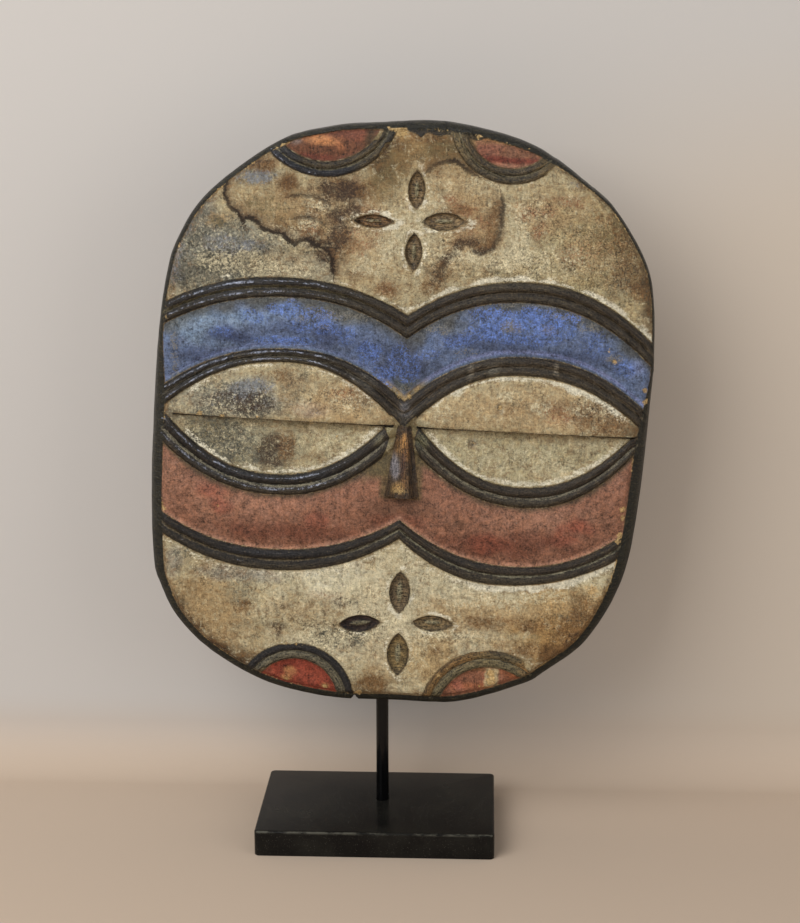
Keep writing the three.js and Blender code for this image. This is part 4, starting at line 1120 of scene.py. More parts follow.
def distance_to_path(path, u, v):
    """Distance to a line through places, and 1 where the place is on the left of the line."""
    nearest = np.full(u.shape, FAR)
    side = np.zeros(u.shape)
    for (a_u, a_v), (b_u, b_v) in zip(path, path[1:]):
        length = (b_u - a_u) ** 2 + (b_v - a_v) ** 2
        t = np.clip(((u - a_u) * (b_u - a_u) + (v - a_v) * (b_v - a_v)) / length, 0, 1)
        away = np.hypot(u - mix(a_u, b_u, t), v - mix(a_v, b_v, t))
        left = (b_u - a_u) * (v - a_v) - (b_v - a_v) * (u - a_u) > 0
        side = np.where(away < nearest, np.where(left, 1.0, -1.0), side)
        nearest = np.minimum(nearest, away)
    return nearest, side


def motif_field(u, v):
    """Distance inside the sunk field of the nearest motif."""
    depth = np.full(u.shape, OUTSIDE)
    for motif in MOTIFS:
        depth = np.maximum(depth, motif_depth(motif, u, v) - 2 * motif[3])
    return depth


def ink_depth(u, v):
    """Distance inside the black paint: the ridge pairs, motif ridges, slit and rim."""
    depth = np.full(u.shape, OUTSIDE)
    for upper, lower in PAIRS:
        paint = inside_zone(upper, lower, u, v)
        if upper == "pouch_top":
            paint = paint - 7 * smooth(POUCH_FADE, 7, np.abs(u + 1 + 0.6 * cloud(u, v, 6, 56)))
        if upper == "lid_top":
            tip = 0.7 * (v - EYE_LINE_V + 1 - np.abs(u))
            paint = np.where(np.abs(u) < 8, np.minimum(paint, tip), paint)
        depth = np.maximum(depth, paint)
    for motif in MOTIFS:
        inward = motif_depth(motif, u, v)
        depth = np.maximum(depth, np.minimum(inward, 2 * motif[3] - inward))
    depth = depth - gathered(FADED_INK, u, v, 150) * 5
    slit = inside_zone("eye", "slit_foot", u, v) + 0.2
    depth = np.maximum(depth, np.where(eye_opening(u, 1) > 0, slit, OUTSIDE))
    splashed = 4.2 * smooth(-6, 1, u) * smooth(46, 38, u) * smooth(150, 160, v)
    splashed = splashed * (0.7 + 0.5 * cloud(u, v, 4, 60))
    return np.maximum(depth, 0.3 + splashed - inside_rim(u, v))


def worn_lines_and_glints(u, v):
    """Distance inside the worn grooves and the painted crest highlights of the ridges, and their colour."""
    depth = np.full(u.shape, OUTSIDE)
    tone = np.broadcast_to(np.array(WORN_GLINT, float), (len(u), 3))
    rightwards = smooth(-70, 10, u)
    glint = toward(GLINT, WORN_GLINT, rightwards)
    reach = mix(0.25, -0.35, rightwards) + 0.35 * cloud(u, v, 8, 52) - 0.6 * smooth(-70, -95, v)
    marks = []
    for (upper, lower), (place, half, left, right) in zip(PAIRS, GROOVES):
        top, foot = line_at(upper, u), line_at(lower, u)
        inside = inside_zone(upper, lower, u, v) > 0.7
        narrow = across_line(upper, u)
        groove = half + 0.3 * cloud(u, v, 12, 55) - np.abs(v - mix(top, foot, place)) * narrow
        marks.append((inside, groove, toward(left, right, rightwards)))
        # Painted highlights along the crests of the two ridges
        for crest_place in CREST_PLACES:
            crest = np.abs(v - mix(top, foot, crest_place) + 0.5 * cloud(u, v, 6, 51)) * narrow
            marks.append((inside, reach - crest, glint))
    # Worn groove between a motif's two ridges, and a painted highlight along its outer ridge
    for motif in MOTIFS:
        inward = motif_depth(motif, u, v)
        marks.append((True, 0.6 - np.abs(inward - motif[3]), WORN_RIDGE))
        marks.append((True, reach - 0.1 - np.abs(inward - 0.38 * motif[3]), glint))
    for inside, mark, own in marks:
        closer = inside & (mark > depth)
        depth = np.where(closer, mark, depth)
        tone = where_tone(closer, own, tone)
    petal, _ = petal_field(u, v)
    faded = 2 * smooth(POUCH_FADE, 10, np.abs(u)) * smooth(-5, -10, v) * smooth(-70, -60, v)
    return np.where(np.maximum(nose_field(u, v), petal) > -0.5, OUTSIDE, depth - faded), tone


def carving_flow(u, v):
    """Place along and across the nearest carved shape, for wear that follows it."""
    along = u + 0.3 * v
    across = v
    nearest = np.full(u.shape, -3.0)
    shapes = [(inside_zone(upper, lower, u, v), u, above_line(upper, u, v)) for upper, lower in PAIRS]
    for motif in MOTIFS:
        inward = motif_depth(motif, u, v)
        turn = np.arctan2(v - motif[1], u - motif[0]) * motif[2]
        shapes.append((np.minimum(inward, 2 * motif[3] - inward), turn, inward))
    shapes.append((nose_field(u, v) + 2, v, u))
    for depth, own_along, own_across in shapes:
        closer = depth > nearest
        nearest = np.where(closer, depth, nearest)
        along = np.where(closer, own_along, along)
        across = np.where(closer, own_across, across)
    return along, across


def petal_field(u, v):
    """Distance inside the nearest petal, and inside its leaf."""
    petal = np.full(u.shape, OUTSIDE)
    rib = np.full(u.shape, OUTSIDE)
    for one in PETALS:
        petal = np.maximum(petal, (1 - lens(one, u, v)) * one[3] / 2)
        rib = np.maximum(rib, (1 - leaf(one, u, v)) * one[3] * LEAF_WIDTH / 2)
    return petal, rib


def nose_field(u, v):
    inward = nose_half(v) - np.abs(u - NOSE_U)
    return np.minimum(inward, np.minimum(EYE_LINE_V - v, v - NOSE_FOOT_V + 1.5))


def edge_amount(u, v):
    """Where white paint is left along the carved edges."""
    rightwards = smooth(-10, 30, u)
    within = smooth(0.05, 0.4, eye_opening(u, 1))
    below_lid = within * (0.5 + 0.25 * smooth(-20, 60, u))
    above_brow = above_line("brow_top", u, v) - mix(1.3, 0.2, rightwards)
    strips = (
        (above_brow, 0.66 + 0.1 * rightwards, mix(2.0, 5.0, rightwards)),
        (-above_line("jaw_foot", u, v), 0.36 + 0.6 * smooth(20, 80, u), 8.0),
        (-above_line("lid_foot", u, v), below_lid, mix(5.0, 8.0, smooth(60, 120, u))),
        (above_line("pouch_top", u, v), 0.6 * within, 6.0),
    )
    amount = np.zeros(u.shape)
    for away, where, width in strips:
        strip = smooth(0, 0.8, away) * smooth(width, width * 0.15, away + 1.8 * cloud(u, v, 9, 71))
        amount = np.maximum(amount, strip * where)
    petal, _ = petal_field(u, v)
    halo = smooth(-3.8, -1.0, petal + 1.6 * cloud(u, v, 5, 72))
    halo = halo * smooth(0.2, -0.9, petal + 0.5 * cloud(u, v, 3, 75))
    for motif in MOTIFS:
        outside = motif_depth(motif, u, v) + 0.6 * cloud(u, v, 5, 74)
        halo = np.maximum(halo, 0.5 * smooth(-2.4, -1.2, outside) * smooth(0, -0.6, outside))
    return np.maximum(amount, (0.44 + 0.44 * cloud(u, v, 8, 76)) * halo)


def share_between(upper, lower, u, v):
    """How far down a place lies between two lines, 0 at the upper and 1 at the lower one."""
    top = line_at(upper, u)
    return np.clip((top - v) / (top - line_at(lower, u)), 0, 1)


def blue_tone(u, v):
    """The blue band: grey under the brow, with a painted highlight along its lower lip and a tan foot."""
    f = share_between("brow_foot", "lid_top", u, v)
    tone = tinted(BLUE, BLUE_CLOUDS, u, v, 90)
    tone = toward(tone, GREY_BLACK, 0.75 * smooth(0.3, 0.02, f + 0.1 * cloud(u, v, 9, 91)))
    # Painted highlight: a pale lilac line along the lip near the band's foot
    line = smooth(0.05, 0.015, np.abs(f - 0.91 + 0.012 * cloud(u, v, 9, 92)))
    tone = toward(tone, LILAC, line * (0.3 + 0.4 * smooth(0, 20, u)))
    tone = toward(tone, GREY_BLACK, 0.6 * smooth(0.94, 1, f))
    return toward(tone, BAND_TAN, 0.85 * smooth(0.87, 0.94, f) * smooth(17, 7, np.abs(u)))


def red_tone(u, v):
    """The red band: pale pink at its foot, darker under the eyes and beside the nose, and with a painted
    shadow under the end of the nose.
    """
    f = share_between("pouch_foot", "jaw_top", u, v)
    tone = tinted(BRICK, RED_CLOUDS, u, v, 80)
    tone = toward(tone, PINK, 0.7 * smooth(0.93, 0.97, f))
    tone = toward(tone, DARK_OLIVE, 0.6 * smooth(0.1, 0, f + 0.03 * cloud(u, v, 5, 94)))
    pink_from = mix(-47.0, -39.0, smooth(-2, 2, u))
    above = smooth(pink_from - 4, pink_from + 4, v + 2 * cloud(u, v, 5, 59))
    beside_nose = smooth(32, 19, np.abs(u + 1)) * above
    # Painted shadow under the end of the nose
    under_nose = 0.8 * smooth(15.5, 12, np.abs(u)) * smooth(-61, -56, v)
    return toward(tone, BESIDE_NOSE, np.maximum(beside_nose, under_nose))


def field_tone(u, v):
    """The sunk fields of the motifs, one of them with a cream patch."""
    tone = np.broadcast_to(np.array(RED, float), (len(u), 3))
    for motif, own in zip(MOTIFS, FIELD_TONES):
        tone = where_tone(motif_depth(motif, u, v) > 0, own, tone)
    tone = tinted(tone, FIELD_CLOUDS, u, v, 97)
    left, right, foot, top = CREAM_PATCH
    inward = np.minimum(np.minimum(u - left, right - u), np.minimum(v - foot, top - v))
    return toward(tone, PATCH_CREAM, 0.9 * smooth(-0.5, 0.5, inward + 0.5 * cloud(u, v, 1.6, 98)))


def band_tone(u, v):
    """Tone of the blue band, the red band and the sunk fields."""
    is_blue = (v > line_at("lid_foot", u)) & (v < line_at("brow_top", u))
    other = toward(red_tone(u, v), field_tone(u, v), smooth(-1, 1, motif_field(u, v)))
    return where_tone(is_blue, blue_tone(u, v), other)


def ink_tone(u, v):
    """Tones of the black paint, with the petals and the nose that stand in it."""
    tone = toward(BLACK, INK_BROWN, smooth(-70, 30, u))
    for motif, (outer, inner) in zip(MOTIFS, MOTIF_INK):
        inward = motif_depth(motif, u, v)
        own = toward(outer, inner, smooth(0.9, 1.1, inward / motif[3]))
        tone = where_tone(inward > -1, own, tone)
    tone = tinted(tone, INK_CLOUDS, u, v, 100)
    second = np.zeros(u.shape)
    for upper, lower in PAIRS:
        f = (line_at(upper, u) - v) / (line_at(upper, u) - line_at(lower, u) + 1e-6)
        second = np.maximum(second, smooth(0.5, 0.8, f) * smooth(1.1, 1, f))
    tone = toward(tone, WORN_BLACK, 0.5 * second)
    contour = smooth(1.5, 0.3, ink_depth(u, v)) * smooth(1, 2, inside_rim(u, v)) * smooth(70, 0, u)
    tone = toward(tone, BLACK, 0.8 * contour)
    tone = toward(tone, RIM_BLACK, smooth(0.8, 0.2, inside_rim(u, v)))
    streak = 1 + 0.22 * cloud(u, v, 1.6, 57)[:, None]
    for petal, own in zip(PETALS, PETAL_TONES):
        inward = (1 - lens(petal, u, v)) * petal[3] / 2
        floor = toward(PETAL_EDGE, np.array(own, float) * streak, smooth(0, 1.1, inward))
        tone = where_tone(inward > -1, floor, tone)
    _, rib = petal_field(u, v)
    tone = toward(tone, GREY_GREEN, 0.85 * smooth(0.1, 0.8, rib))
    # The nose, with its painted highlights and shade
    nose = tinted(NOSE_BROWN, NOSE_TONE_AND_LIGHT_CLOUDS, u, v, 140)
    return toward(tone, nose, smooth(-0.5, 0.2, nose_field(u, v)))


def chip_depth(u, v):
    """Distance inside the chips and the rubbed edge of the rim."""
    depth = np.full(u.shape, OUTSIDE)
    for middle_u, middle_v, radius in CHIPS:
        depth = np.maximum(depth, radius - np.hypot(u - middle_u, v - middle_v))
    rubbed = 0.2 + 0.5 * cloud(u, v, 14, 54) - np.abs(inside_rim(u, v) - 0.5)
    return np.maximum(depth, rubbed)


def tide_depth(u, v):
    """Distance from the nearest damp edge, above 0 on its stained side, and its strength."""
    nearest = np.full(u.shape, 30.0)
    signed = np.full(u.shape, -30.0)
    power = np.zeros(u.shape)
    for path, strength in TIDE_LINES:
        away, side = distance_to_path(path, u, v)
        closer = away < nearest
        signed = np.where(closer, away * side, signed)
        power = np.where(closer, strength, power)
        nearest = np.minimum(nearest, away)
    uneven = 0.75 + 0.25 * cloud(u, v, 9, 58)
    return signed, power * uneven * smooth(TIDE_REACH * 1.6, TIDE_REACH * 0.4, nearest)


def to_linear(tone):
    c = np.clip(np.asarray(tone, float) / 255, 0, 1)
    return np.where(c <= 0.04045, c / 12.92, ((c + 0.055) / 1.055) ** 2.4)


def store(mesh, name, values):
    """Keeps one number, or one colour, for each point of a mesh."""
    if values.ndim == 1:
        layer = mesh.attributes.new(name, "FLOAT", "POINT")
        layer.data.foreach_set("value", values.astype(np.float32))
    else:
        layer = mesh.attributes.new(name, "FLOAT_COLOR", "POINT")
        rgba = np.concatenate([to_linear(values), np.ones((len(values), 1))], 1)
        layer.data.foreach_set("color", rgba.astype(np.float32).ravel())


def paint_board(obj):
    """Stores where each paint lies on the board and its colour."""
    mesh = obj.data
    points = np.empty(len(mesh.vertices) * 3, np.float32)
    mesh.vertices.foreach_get("co", points)
    points = points.reshape(-1, 3).astype(float)
    u, v = to_face(points)
    y = points[:, 1] / MM
    before_side = y < SIDE_START_Y
    front = before_side & (inside_rim(u, v) > -BEVEL_PAINT_REACH)
    back = smooth(BACK_Y - BACK_EDGE_ROUND - 2, BACK_Y - 0.5, y)

    def store_front(name, values, elsewhere=OUTSIDE):
        store(mesh, name, np.where(front, values, elsewhere))

    petal, _ = petal_field(u, v)
    ink = np.maximum(ink_depth(u, v), np.maximum(petal, nose_field(u, v)))
    ink = np.where(front, ink, mix(SIDE_INK, -SIDE_INK, back))
    ground = tinted(CREAM, GROUND_CLOUDS, u, v, 110)
    for index, (name, (wash, _, places)) in enumerate(WASHES.items()):
        amount = gathered(places, u, v, 60 + 10 * index)
        if name == "brown":
            near_rim = smooth(7, 1, inside_rim(u, v) + 2 * cloud(u, v, 8, 73))
            amount = np.maximum(np.maximum(amount, 0.5 * near_rim), back)
        if name == "olive":
            amount = np.maximum(amount, 0.45 * smooth(-2.0, -0.4, ink))
        amount = np.where(before_side, amount, back * (name == "brown"))
        ground = toward(ground, wash, 0.35 * amount)
        store(mesh, "wash_" + name, amount)
    # Painted shade: dark brown along the lower-left rim
    low_left = smooth(-50, -66, u) * smooth(-126, -146, v)
    rim_shade = smooth(12, 1.5, inside_rim(u, v) + 3 * cloud(u, v, 9, 77)) * low_left
    store(mesh, "ground_tone", toward(ground, RIM_SHADE, 0.94 * rim_shade))
    for name, places, seed in (
        ("speckle", SPECKLED, 180), ("cobalt", COBALT_PLACES, 160), ("scraped", SCRAPED_PLACES, 170),
    ):
        store(mesh, name, gathered(places, u, v, seed))
    for name, values in zip(("along", "across"), carving_flow(u, v)):
        store(mesh, name, values)
    bands = [inside_zone(*zone[:2], u, v) for zone in ZONES if zone[2] is rolled_band]
    # Worn grooves, and painted highlights along the ridge crests
    worn, worn_and_glint_tone = worn_lines_and_glints(u, v)
    tide, tide_power = tide_depth(u, v)
    store_front("white", edge_amount(u, v), 0.0)
    store_front("worn", worn)
    store_front("band", np.maximum(np.maximum(*bands), motif_field(u, v)))
    store_front("tide", tide, -30)
    store_front("tide_power", tide_power, 0)
    store_front("chip", chip_depth(u, v))
    store(mesh, "ink", ink)
    store(mesh, "ink_tone", where_tone(front, ink_tone(u, v), RIM_BLACK))
    store(mesh, "worn_and_glint_tone", worn_and_glint_tone)
    store(mesh, "band_tone", band_tone(u, v))


# Materials

# Heights in millimetres between which the mask grows matt downwards
MATT_BELOW = (170, 270)

# Height and depth of the lighter grey along the base's front top edge
GREY_EDGE_HEIGHT = (15.4, 17.2)
GREY_EDGE_FRONT = (-51.4, -52.6)

# Where the floor's tone turns into the wall's, and where a painted warm tint of light and shadow lies on the
# wall
FLOOR_TO_WALL = (0, 60)
WARM_LIGHT_FROM_LEFT = (-60, 300)
WARM_LIGHT_FROM_TOP = (560, 380)


class Nodes:
    """Short ways to add the nodes of one material."""

    def __init__(self, name):
        self.material = bpy.data.materials.new(name)
        self.material.use_nodes = True
        self.tree = self.material.node_tree
        self.shader = self.tree.nodes["Principled BSDF"]
        coordinates = self.tree.nodes.new("ShaderNodeTexCoord")
        self.place = self.vector("SCALE", coordinates.outputs["Object"], scale=1 / MM)

    def link(self, source, socket):
        if isinstance(source, bpy.types.NodeSocket):
            self.tree.links.new(source, socket)
        else:
            socket.default_value = source

    def vector(self, operation, a, b=None, scale=None):
        node = self.tree.nodes.new("ShaderNodeVectorMath")
        node.operation = operation
        self.link(a, node.inputs[0])
        if b is not None:
            self.link(b, node.inputs[1])
        if scale is not None:
            node.inputs["Scale"].default_value = scale
        return node.outputs[0]

    def math(self, operation, a, b=0.0):
        node = self.tree.nodes.new("ShaderNodeMath")
        node.operation = operation
        self.link(a, node.inputs[0])
        self.link(b, node.inputs[1])
        return node.outputs[0]

    def add(self, a, b):
        return self.math("ADD", a, b)

    def times(self, a, b):
        return self.math("MULTIPLY", a, b)

    def swings(self, start, *parts):
        """A number with noises around it, each given with its swing."""
        for noise, swing in parts:
            start = self.add(start, self.times(self.add(noise, -0.5), swing))
        return start

    def between(self, value, low, high, to_low=0.0, to_high=1.0):
        """Even curve from to_low to to_high while the value goes from low to high."""
        node = self.tree.nodes.new("ShaderNodeMapRange")
        node.interpolation_type = "SMOOTHSTEP"
        for socket, given in zip(node.inputs, (value, low, high, to_low, to_high)):
            self.link(given, socket)
        return node.outputs[0]

    def texture(self, where, detail, rough, swirl=0.0):
        node = self.tree.nodes.new("ShaderNodeTexNoise")
        self.link(where, node.inputs["Vector"])
        settings = {"Scale": 1.0, "Detail": detail, "Roughness": rough, "Distortion": swirl}
        for name, value in settings.items():
            node.inputs[name].default_value = value
        return node.outputs[0]

    def noise(self, size, detail=2.0, stretch=(1, 1, 1), rough=0.55, shift=0.0, swirl=0.0):
        """Noise around 0.5 with features of about the given size in millimetres."""
        where = self.vector("MULTIPLY", self.place, tuple(1 / (size * part) for part in stretch))
        where = self.vector("ADD", where, (shift, shift * 1.7, shift * 0.6))
        return self.texture(where, detail, rough, swirl)

    def flow(self, along, across, shift):
        """Streaks around 0.5 that follow the carving, with their length and width in millimetres."""
        where = self.tree.nodes.new("ShaderNodeCombineXYZ")
        self.link(self.times(self.number("along"), 1 / along), where.inputs[0])
        self.link(self.times(self.number("across"), 1 / across), where.inputs[1])
        where.inputs[2].default_value = shift
        return self.texture(where.outputs[0], 3.0, 0.7)

    def apart(self):
        """The three coordinates of the place in millimetres."""
        node = self.tree.nodes.new("ShaderNodeSeparateXYZ")
        self.link(self.place, node.inputs[0])
        return node.outputs

    def cracks(self, noise, width):
        """Thin crooked lines where a noise crosses its middle."""
        return self.between(self.math("ABSOLUTE", self.add(noise, -0.5)), width, 0.0)

    def stored(self, name, output):
        node = self.tree.nodes.new("ShaderNodeAttribute")
        node.attribute_name = name
        return node.outputs[output]

    def number(self, name):
        return self.stored(name, "Fac")

    def colour(self, name):
        return self.stored(name, "Color")

    def blend(self, amount, a, b, kind="MIX"):
        node = self.tree.nodes.new("ShaderNodeMix")
        node.data_type = "RGBA"
        node.blend_type = kind
        self.link(amount, node.inputs[0])
        self.link(a, node.inputs[6])
        self.link(b, node.inputs[7])
        return node.outputs[2]

    def shaded(self, colour, value):
        """A colour made lighter or darker by a number around 1."""
        node = self.tree.nodes.new("ShaderNodeVectorMath")
        node.operation = "SCALE"
        self.link(colour[:3] if isinstance(colour, tuple) else colour, node.inputs[0])
        self.link(self.math("MAXIMUM", value, 0.12), node.inputs["Scale"])
        return node.outputs[0]

    def finish(self, colour, roughness, height=None, specular=0.5):
        """Sets the shader; the height is the relief of the paint in millimetres."""
        self.link(colour, self.shader.inputs["Base Color"])
        self.link(roughness, self.shader.inputs["Roughness"])
        self.shader.inputs["Specular IOR Level"].default_value = specular
        if height is not None:
            bump = self.tree.nodes.new("ShaderNodeBump")
            bump.inputs["Strength"].default_value = 1.0
            bump.inputs["Distance"].default_value = MM
            self.link(height, bump.inputs["Height"])
            self.link(bump.outputs[0], self.shader.inputs["Normal"])
        return self.material


def paint(tone):
    return tuple(float(part) for part in to_linear(tone)) + (1.0,)


def board_paint(look):
    """Old layered paint on carved wood."""
    n = Nodes("board_paint")
    wide = n.noise(11, 3, rough=0.6, shift=17, swirl=1.0)
    broken = n.noise(3.4, 3, rough=0.7, shift=3, swirl=1.2)
    fine = n.noise(1.5, 2, rough=0.7, shift=23, swirl=0.8)
    speck = n.noise(1.05, 2, rough=0.75, shift=71)
    grain = n.noise(1.2, 3, stretch=(1, 1, 10), rough=0.6, shift=5)
    strokes = n.noise(2.2, 3, stretch=(2.6, 1, 0.8), rough=0.75, shift=53, swirl=0.6)
    dabs = n.noise(5.2, 5, rough=0.78, shift=101, swirl=0.9)
    ragged = n.swings(0.0, (broken, 5.0), (fine, 2.0))

    def frayed(name, amount):
        """A stored depth with an uneven edge."""
        return n.add(n.number(name), n.times(ragged, amount))

    def flaked(name, *noises):
        """A stored amount that noises break up."""
        return n.swings(n.number(name), *noises)

    # How light or dark the pale ground is
    web = n.noise(2.6, 1, shift=83, swirl=1.4)
    busy = n.between(flaked("speckle", (n.noise(13, 2, shift=61), 1.6)), -0.1, 0.9, 0.5, 1.45)
    dust = n.times(n.swings(0.0, (fine, 1.8), (speck, 1.3)), busy)
    value = n.swings(1.0, (wide, 0.65), (broken, 1.15), (strokes, 0.85), (grain, 0.7))
    webbed = n.between(n.noise(8, 2, shift=91), 0.4, 0.62, 0.0, -0.45)
    value = n.add(n.add(value, dust), n.times(n.cracks(web, 0.05), webbed))

    def coat(amount, under, tone, shade=value):
        """One paint over another, made lighter or darker."""
        return n.blend(amount, under, n.shaded(paint(tone), shade))

    # Ground with its dabs, washes, cracks and white edges
    patches = n.between(n.noise(6, 1, shift=43, swirl=1.5), 0.32, 0.68)
    warmth = n.blend(patches, (0.97, 1.0, 1.02, 1), (1.04, 1.0, 0.94, 1))
    ground = n.blend(1.0, n.colour("ground_tone"), warmth, "MULTIPLY")
    ground = n.blend(n.between(dabs, 0.5, 0.38, 0.0, 0.52), ground, paint(BROWN))
    ground = n.blend(n.between(dabs, 0.53, 0.65, 0.0, 0.6), ground, paint(PALE))
    ground = n.shaded(ground, value)
    for index, (name, (tone, size, _)) in enumerate(WASHES.items()):
        wash = "wash_" + name
        own = n.noise(size, 3, rough=0.7, shift=31 + 11 * index, swirl=0.8)
        flecks = ((fine, 1.1), (speck, -0.9)) if index % 2 else ((speck, 0.9), (fine, -1.1))
        cover = n.between(flaked(wash, (own, 1.6), *flecks), 0.3, 0.85)
        cover = n.times(cover, n.between(n.number(wash), 0.0, 0.4, 0.0, 0.85))
        ground = coat(cover, ground, tone)
    dark = n.add(n.number("wash_dark"), n.times(n.number("wash_brown"), 0.5))
    cracked = n.cracks(n.noise(4.6, 2, shift=131, swirl=1.3), 0.06)
    cracked = n.times(n.between(dark, 0.1, 0.6), cracked)
    ground = n.blend(n.times(cracked, 0.75), ground, paint(CRACK_BROWN))
    white = n.between(flaked("white", (strokes, 1.2), (fine, 1.0)), 0.25, 0.7)
    ground = coat(n.times(white, 0.85), ground, WHITE)

    # Damp stains, each darkest at its edge
    tide = frayed("tide", 1.2)
    power = n.number("tide_power")
    stained = n.times(n.between(tide, -0.2, 0.4), n.between(tide, TIDE_REACH, 0.5))
    patchy = n.between(n.swings(broken, (speck, 0.5)), 0.3, 0.65, 0.3, 0.88)
    ground = coat(n.times(n.times(stained, power), patchy), ground, BROWN)
    deep = n.times(n.between(tide, -0.2, 0.3), n.between(tide, 5.5, 0.6))
    patchy = n.between(n.swings(0.0, (broken, 1.4), (speck, 1.0)), -0.25, 0.12, 0.15, 0.95)
    ground = coat(n.times(n.times(deep, power), patchy), ground, DARK_BROWN)
    thick = n.swings(n.math("ABSOLUTE", tide), (strokes, 3.0))
    line = n.math("MINIMUM", n.times(n.between(thick, 1.9, 0.7), n.times(power, 1.25)), 0.95)
    ground = n.blend(line, ground, paint(STAIN_BLACK))

    # Blue and red bands
    band_value = n.swings(
        1.0, (wide, 0.7), (broken, 0.7), (strokes, 1.0), (grain, 0.9), (fine, 1.5), (speck, 1.8))
    band_value = n.add(band_value, n.between(dabs, 0.36, 0.64, -0.3, 0.3))
    band = n.shaded(n.blend(1.0, n.colour("band_tone"), warmth, "MULTIPLY"), band_value)
    scraped = n.between(flaked("scraped", (broken, -1.6), (speck, 1.4), (fine, 1.0)), 0.38, 0.68)
    band = coat(n.times(scraped, 0.78), band, SCRAPED_GREY)
    cobalt = n.between(flaked("cobalt", (strokes, 1.6), (speck, 2.4), (broken, 1.8)), 0.6, 1.05)
    cobalt = n.math("MAXIMUM", cobalt, n.cracks(n.noise(2.8, 2, shift=13, swirl=1.0), 0.06))
    cobalt = n.times(cobalt, n.between(n.number("cobalt"), 0.02, 0.5, 0.0, 0.66))
    band = coat(cobalt, band, COBALT, band_value)
    flecks = n.between(n.noise(0.9, 1, shift=97), 0.7, 0.78, 0.0, 0.4)
    band = n.blend(flecks, band, n.shaded(n.colour("band_tone"), 1.7))
    colour = n.blend(n.between(frayed("band", 0.45), -0.3, 0.4), ground, band)

    # Black paint, rubbed and worn, with painted highlights along the ridge crests
    ink_edge = frayed("ink", 0.4)
    ink_cover = n.between(ink_edge, -0.25, 0.35)
    streaks = n.flow(7, 0.9, shift=4)
    ink_value = n.swings(1.2, (wide, 0.8), (streaks, 5.8), (fine, 1.8), (speck, 4.8))
    ink = n.shaded(n.colour("ink_tone"), ink_value)
    rubbed = n.swings(0.0, (streaks, 0.9), (speck, 0.9))
    ink = n.blend(n.between(rubbed, 0.12, 0.28, 0.0, 0.55), ink, paint(OLIVE))
    # Worn grooves, and painted highlights along the ridge crests, each in its own colour
    worn = n.between(frayed("worn", 0.45), -0.3, 0.5, 0.0, 0.8)
    ink = n.blend(worn, ink, n.shaded(n.colour("worn_and_glint_tone"), ink_value))
    colour = n.blend(ink_cover, colour, ink)

    # Wood along the edge of the black paint, and chips
    contour = n.between(n.math("ABSOLUTE", ink_edge), 0.6, 0.15)
    contour = n.times(contour, n.between(n.noise(9, 3, rough=0.7, shift=113), 0.42, 0.6, 0.0, 0.5))
    colour = coat(contour, colour, CONTOUR_TAN)
    chip = n.between(frayed("chip", 0.8), 0.0, 0.6)
    bare = n.blend(n.between(speck, 0.4, 0.6), paint(OCHRE), paint(BARE_WOOD))
    colour = n.blend(n.times(chip, 0.8), colour, n.shaded(bare, value))

    rough = n.between(ink_cover, 0, 1, look.ground_roughness, look.ink_roughness)
    matt_below = n.between(n.apart()[2], *MATT_BELOW, 0.28, 0.0)
    rough = n.add(n.swings(rough, (fine, 0.5)), matt_below)
    relief = n.swings(
        0.0, (grain, 0.15), (fine, 0.4), (speck, 0.3), (wide, 0.4), (broken, 0.5), (dabs, 0.3),
        (n.times(streaks, ink_cover), 0.6))
    relief = n.add(relief, n.add(n.times(ink_cover, 0.3), n.times(chip, -0.3)))
    return n.finish(colour, rough, relief, specular=0.35)


def base_paint(look):
    """Satin black paint with dust, and lighter grey along the front top edge."""
    n = Nodes("base_paint")
    dust = n.noise(26, 4, shift=3)
    speck = n.noise(0.8, 2, shift=8)
    colour = n.blend(n.between(dust, 0.35, 0.8), paint(BASE_BLACK), paint(BASE_DUST))
    colour = n.blend(n.between(speck, 0.62, 0.74, 0.0, 0.45), colour, paint(BASE_SPECK))
    _, forward, up = n.apart()
    # Lighter grey along the front top edge
    rubbed = n.times(n.between(up, *GREY_EDGE_HEIGHT), n.between(forward, *GREY_EDGE_FRONT))
    patchy = n.noise(3.5, 4, stretch=(3, 1, 1), rough=0.7, shift=12)
    rubbed = n.times(rubbed, n.between(patchy, 0.42, 0.62))
    colour = n.blend(n.times(rubbed, 0.8), colour, paint(BASE_EDGE_GREY))
    rough = n.between(dust, 0.3, 0.8, look.base_roughness, look.base_roughness + 0.15)
    relief = n.add(n.times(speck, 0.03), n.times(dust, 0.06))
    return n.finish(colour, rough, relief, specular=0.14)


def rod_paint(look):
    """Glossy black paint with a few smears."""
    n = Nodes("rod_paint")
    smear = n.noise(14, 3, stretch=(1, 1, 3), shift=2)
    colour = n.blend(n.between(smear, 0.5, 0.8), paint(ROD_BLACK), paint(ROD_SMEAR))
    rough = n.between(smear, 0.3, 0.8, look.rod_roughness, look.rod_roughness + 0.2)
    return n.finish(colour, rough, n.times(n.noise(5, 2, shift=6), 0.04), specular=0.25)


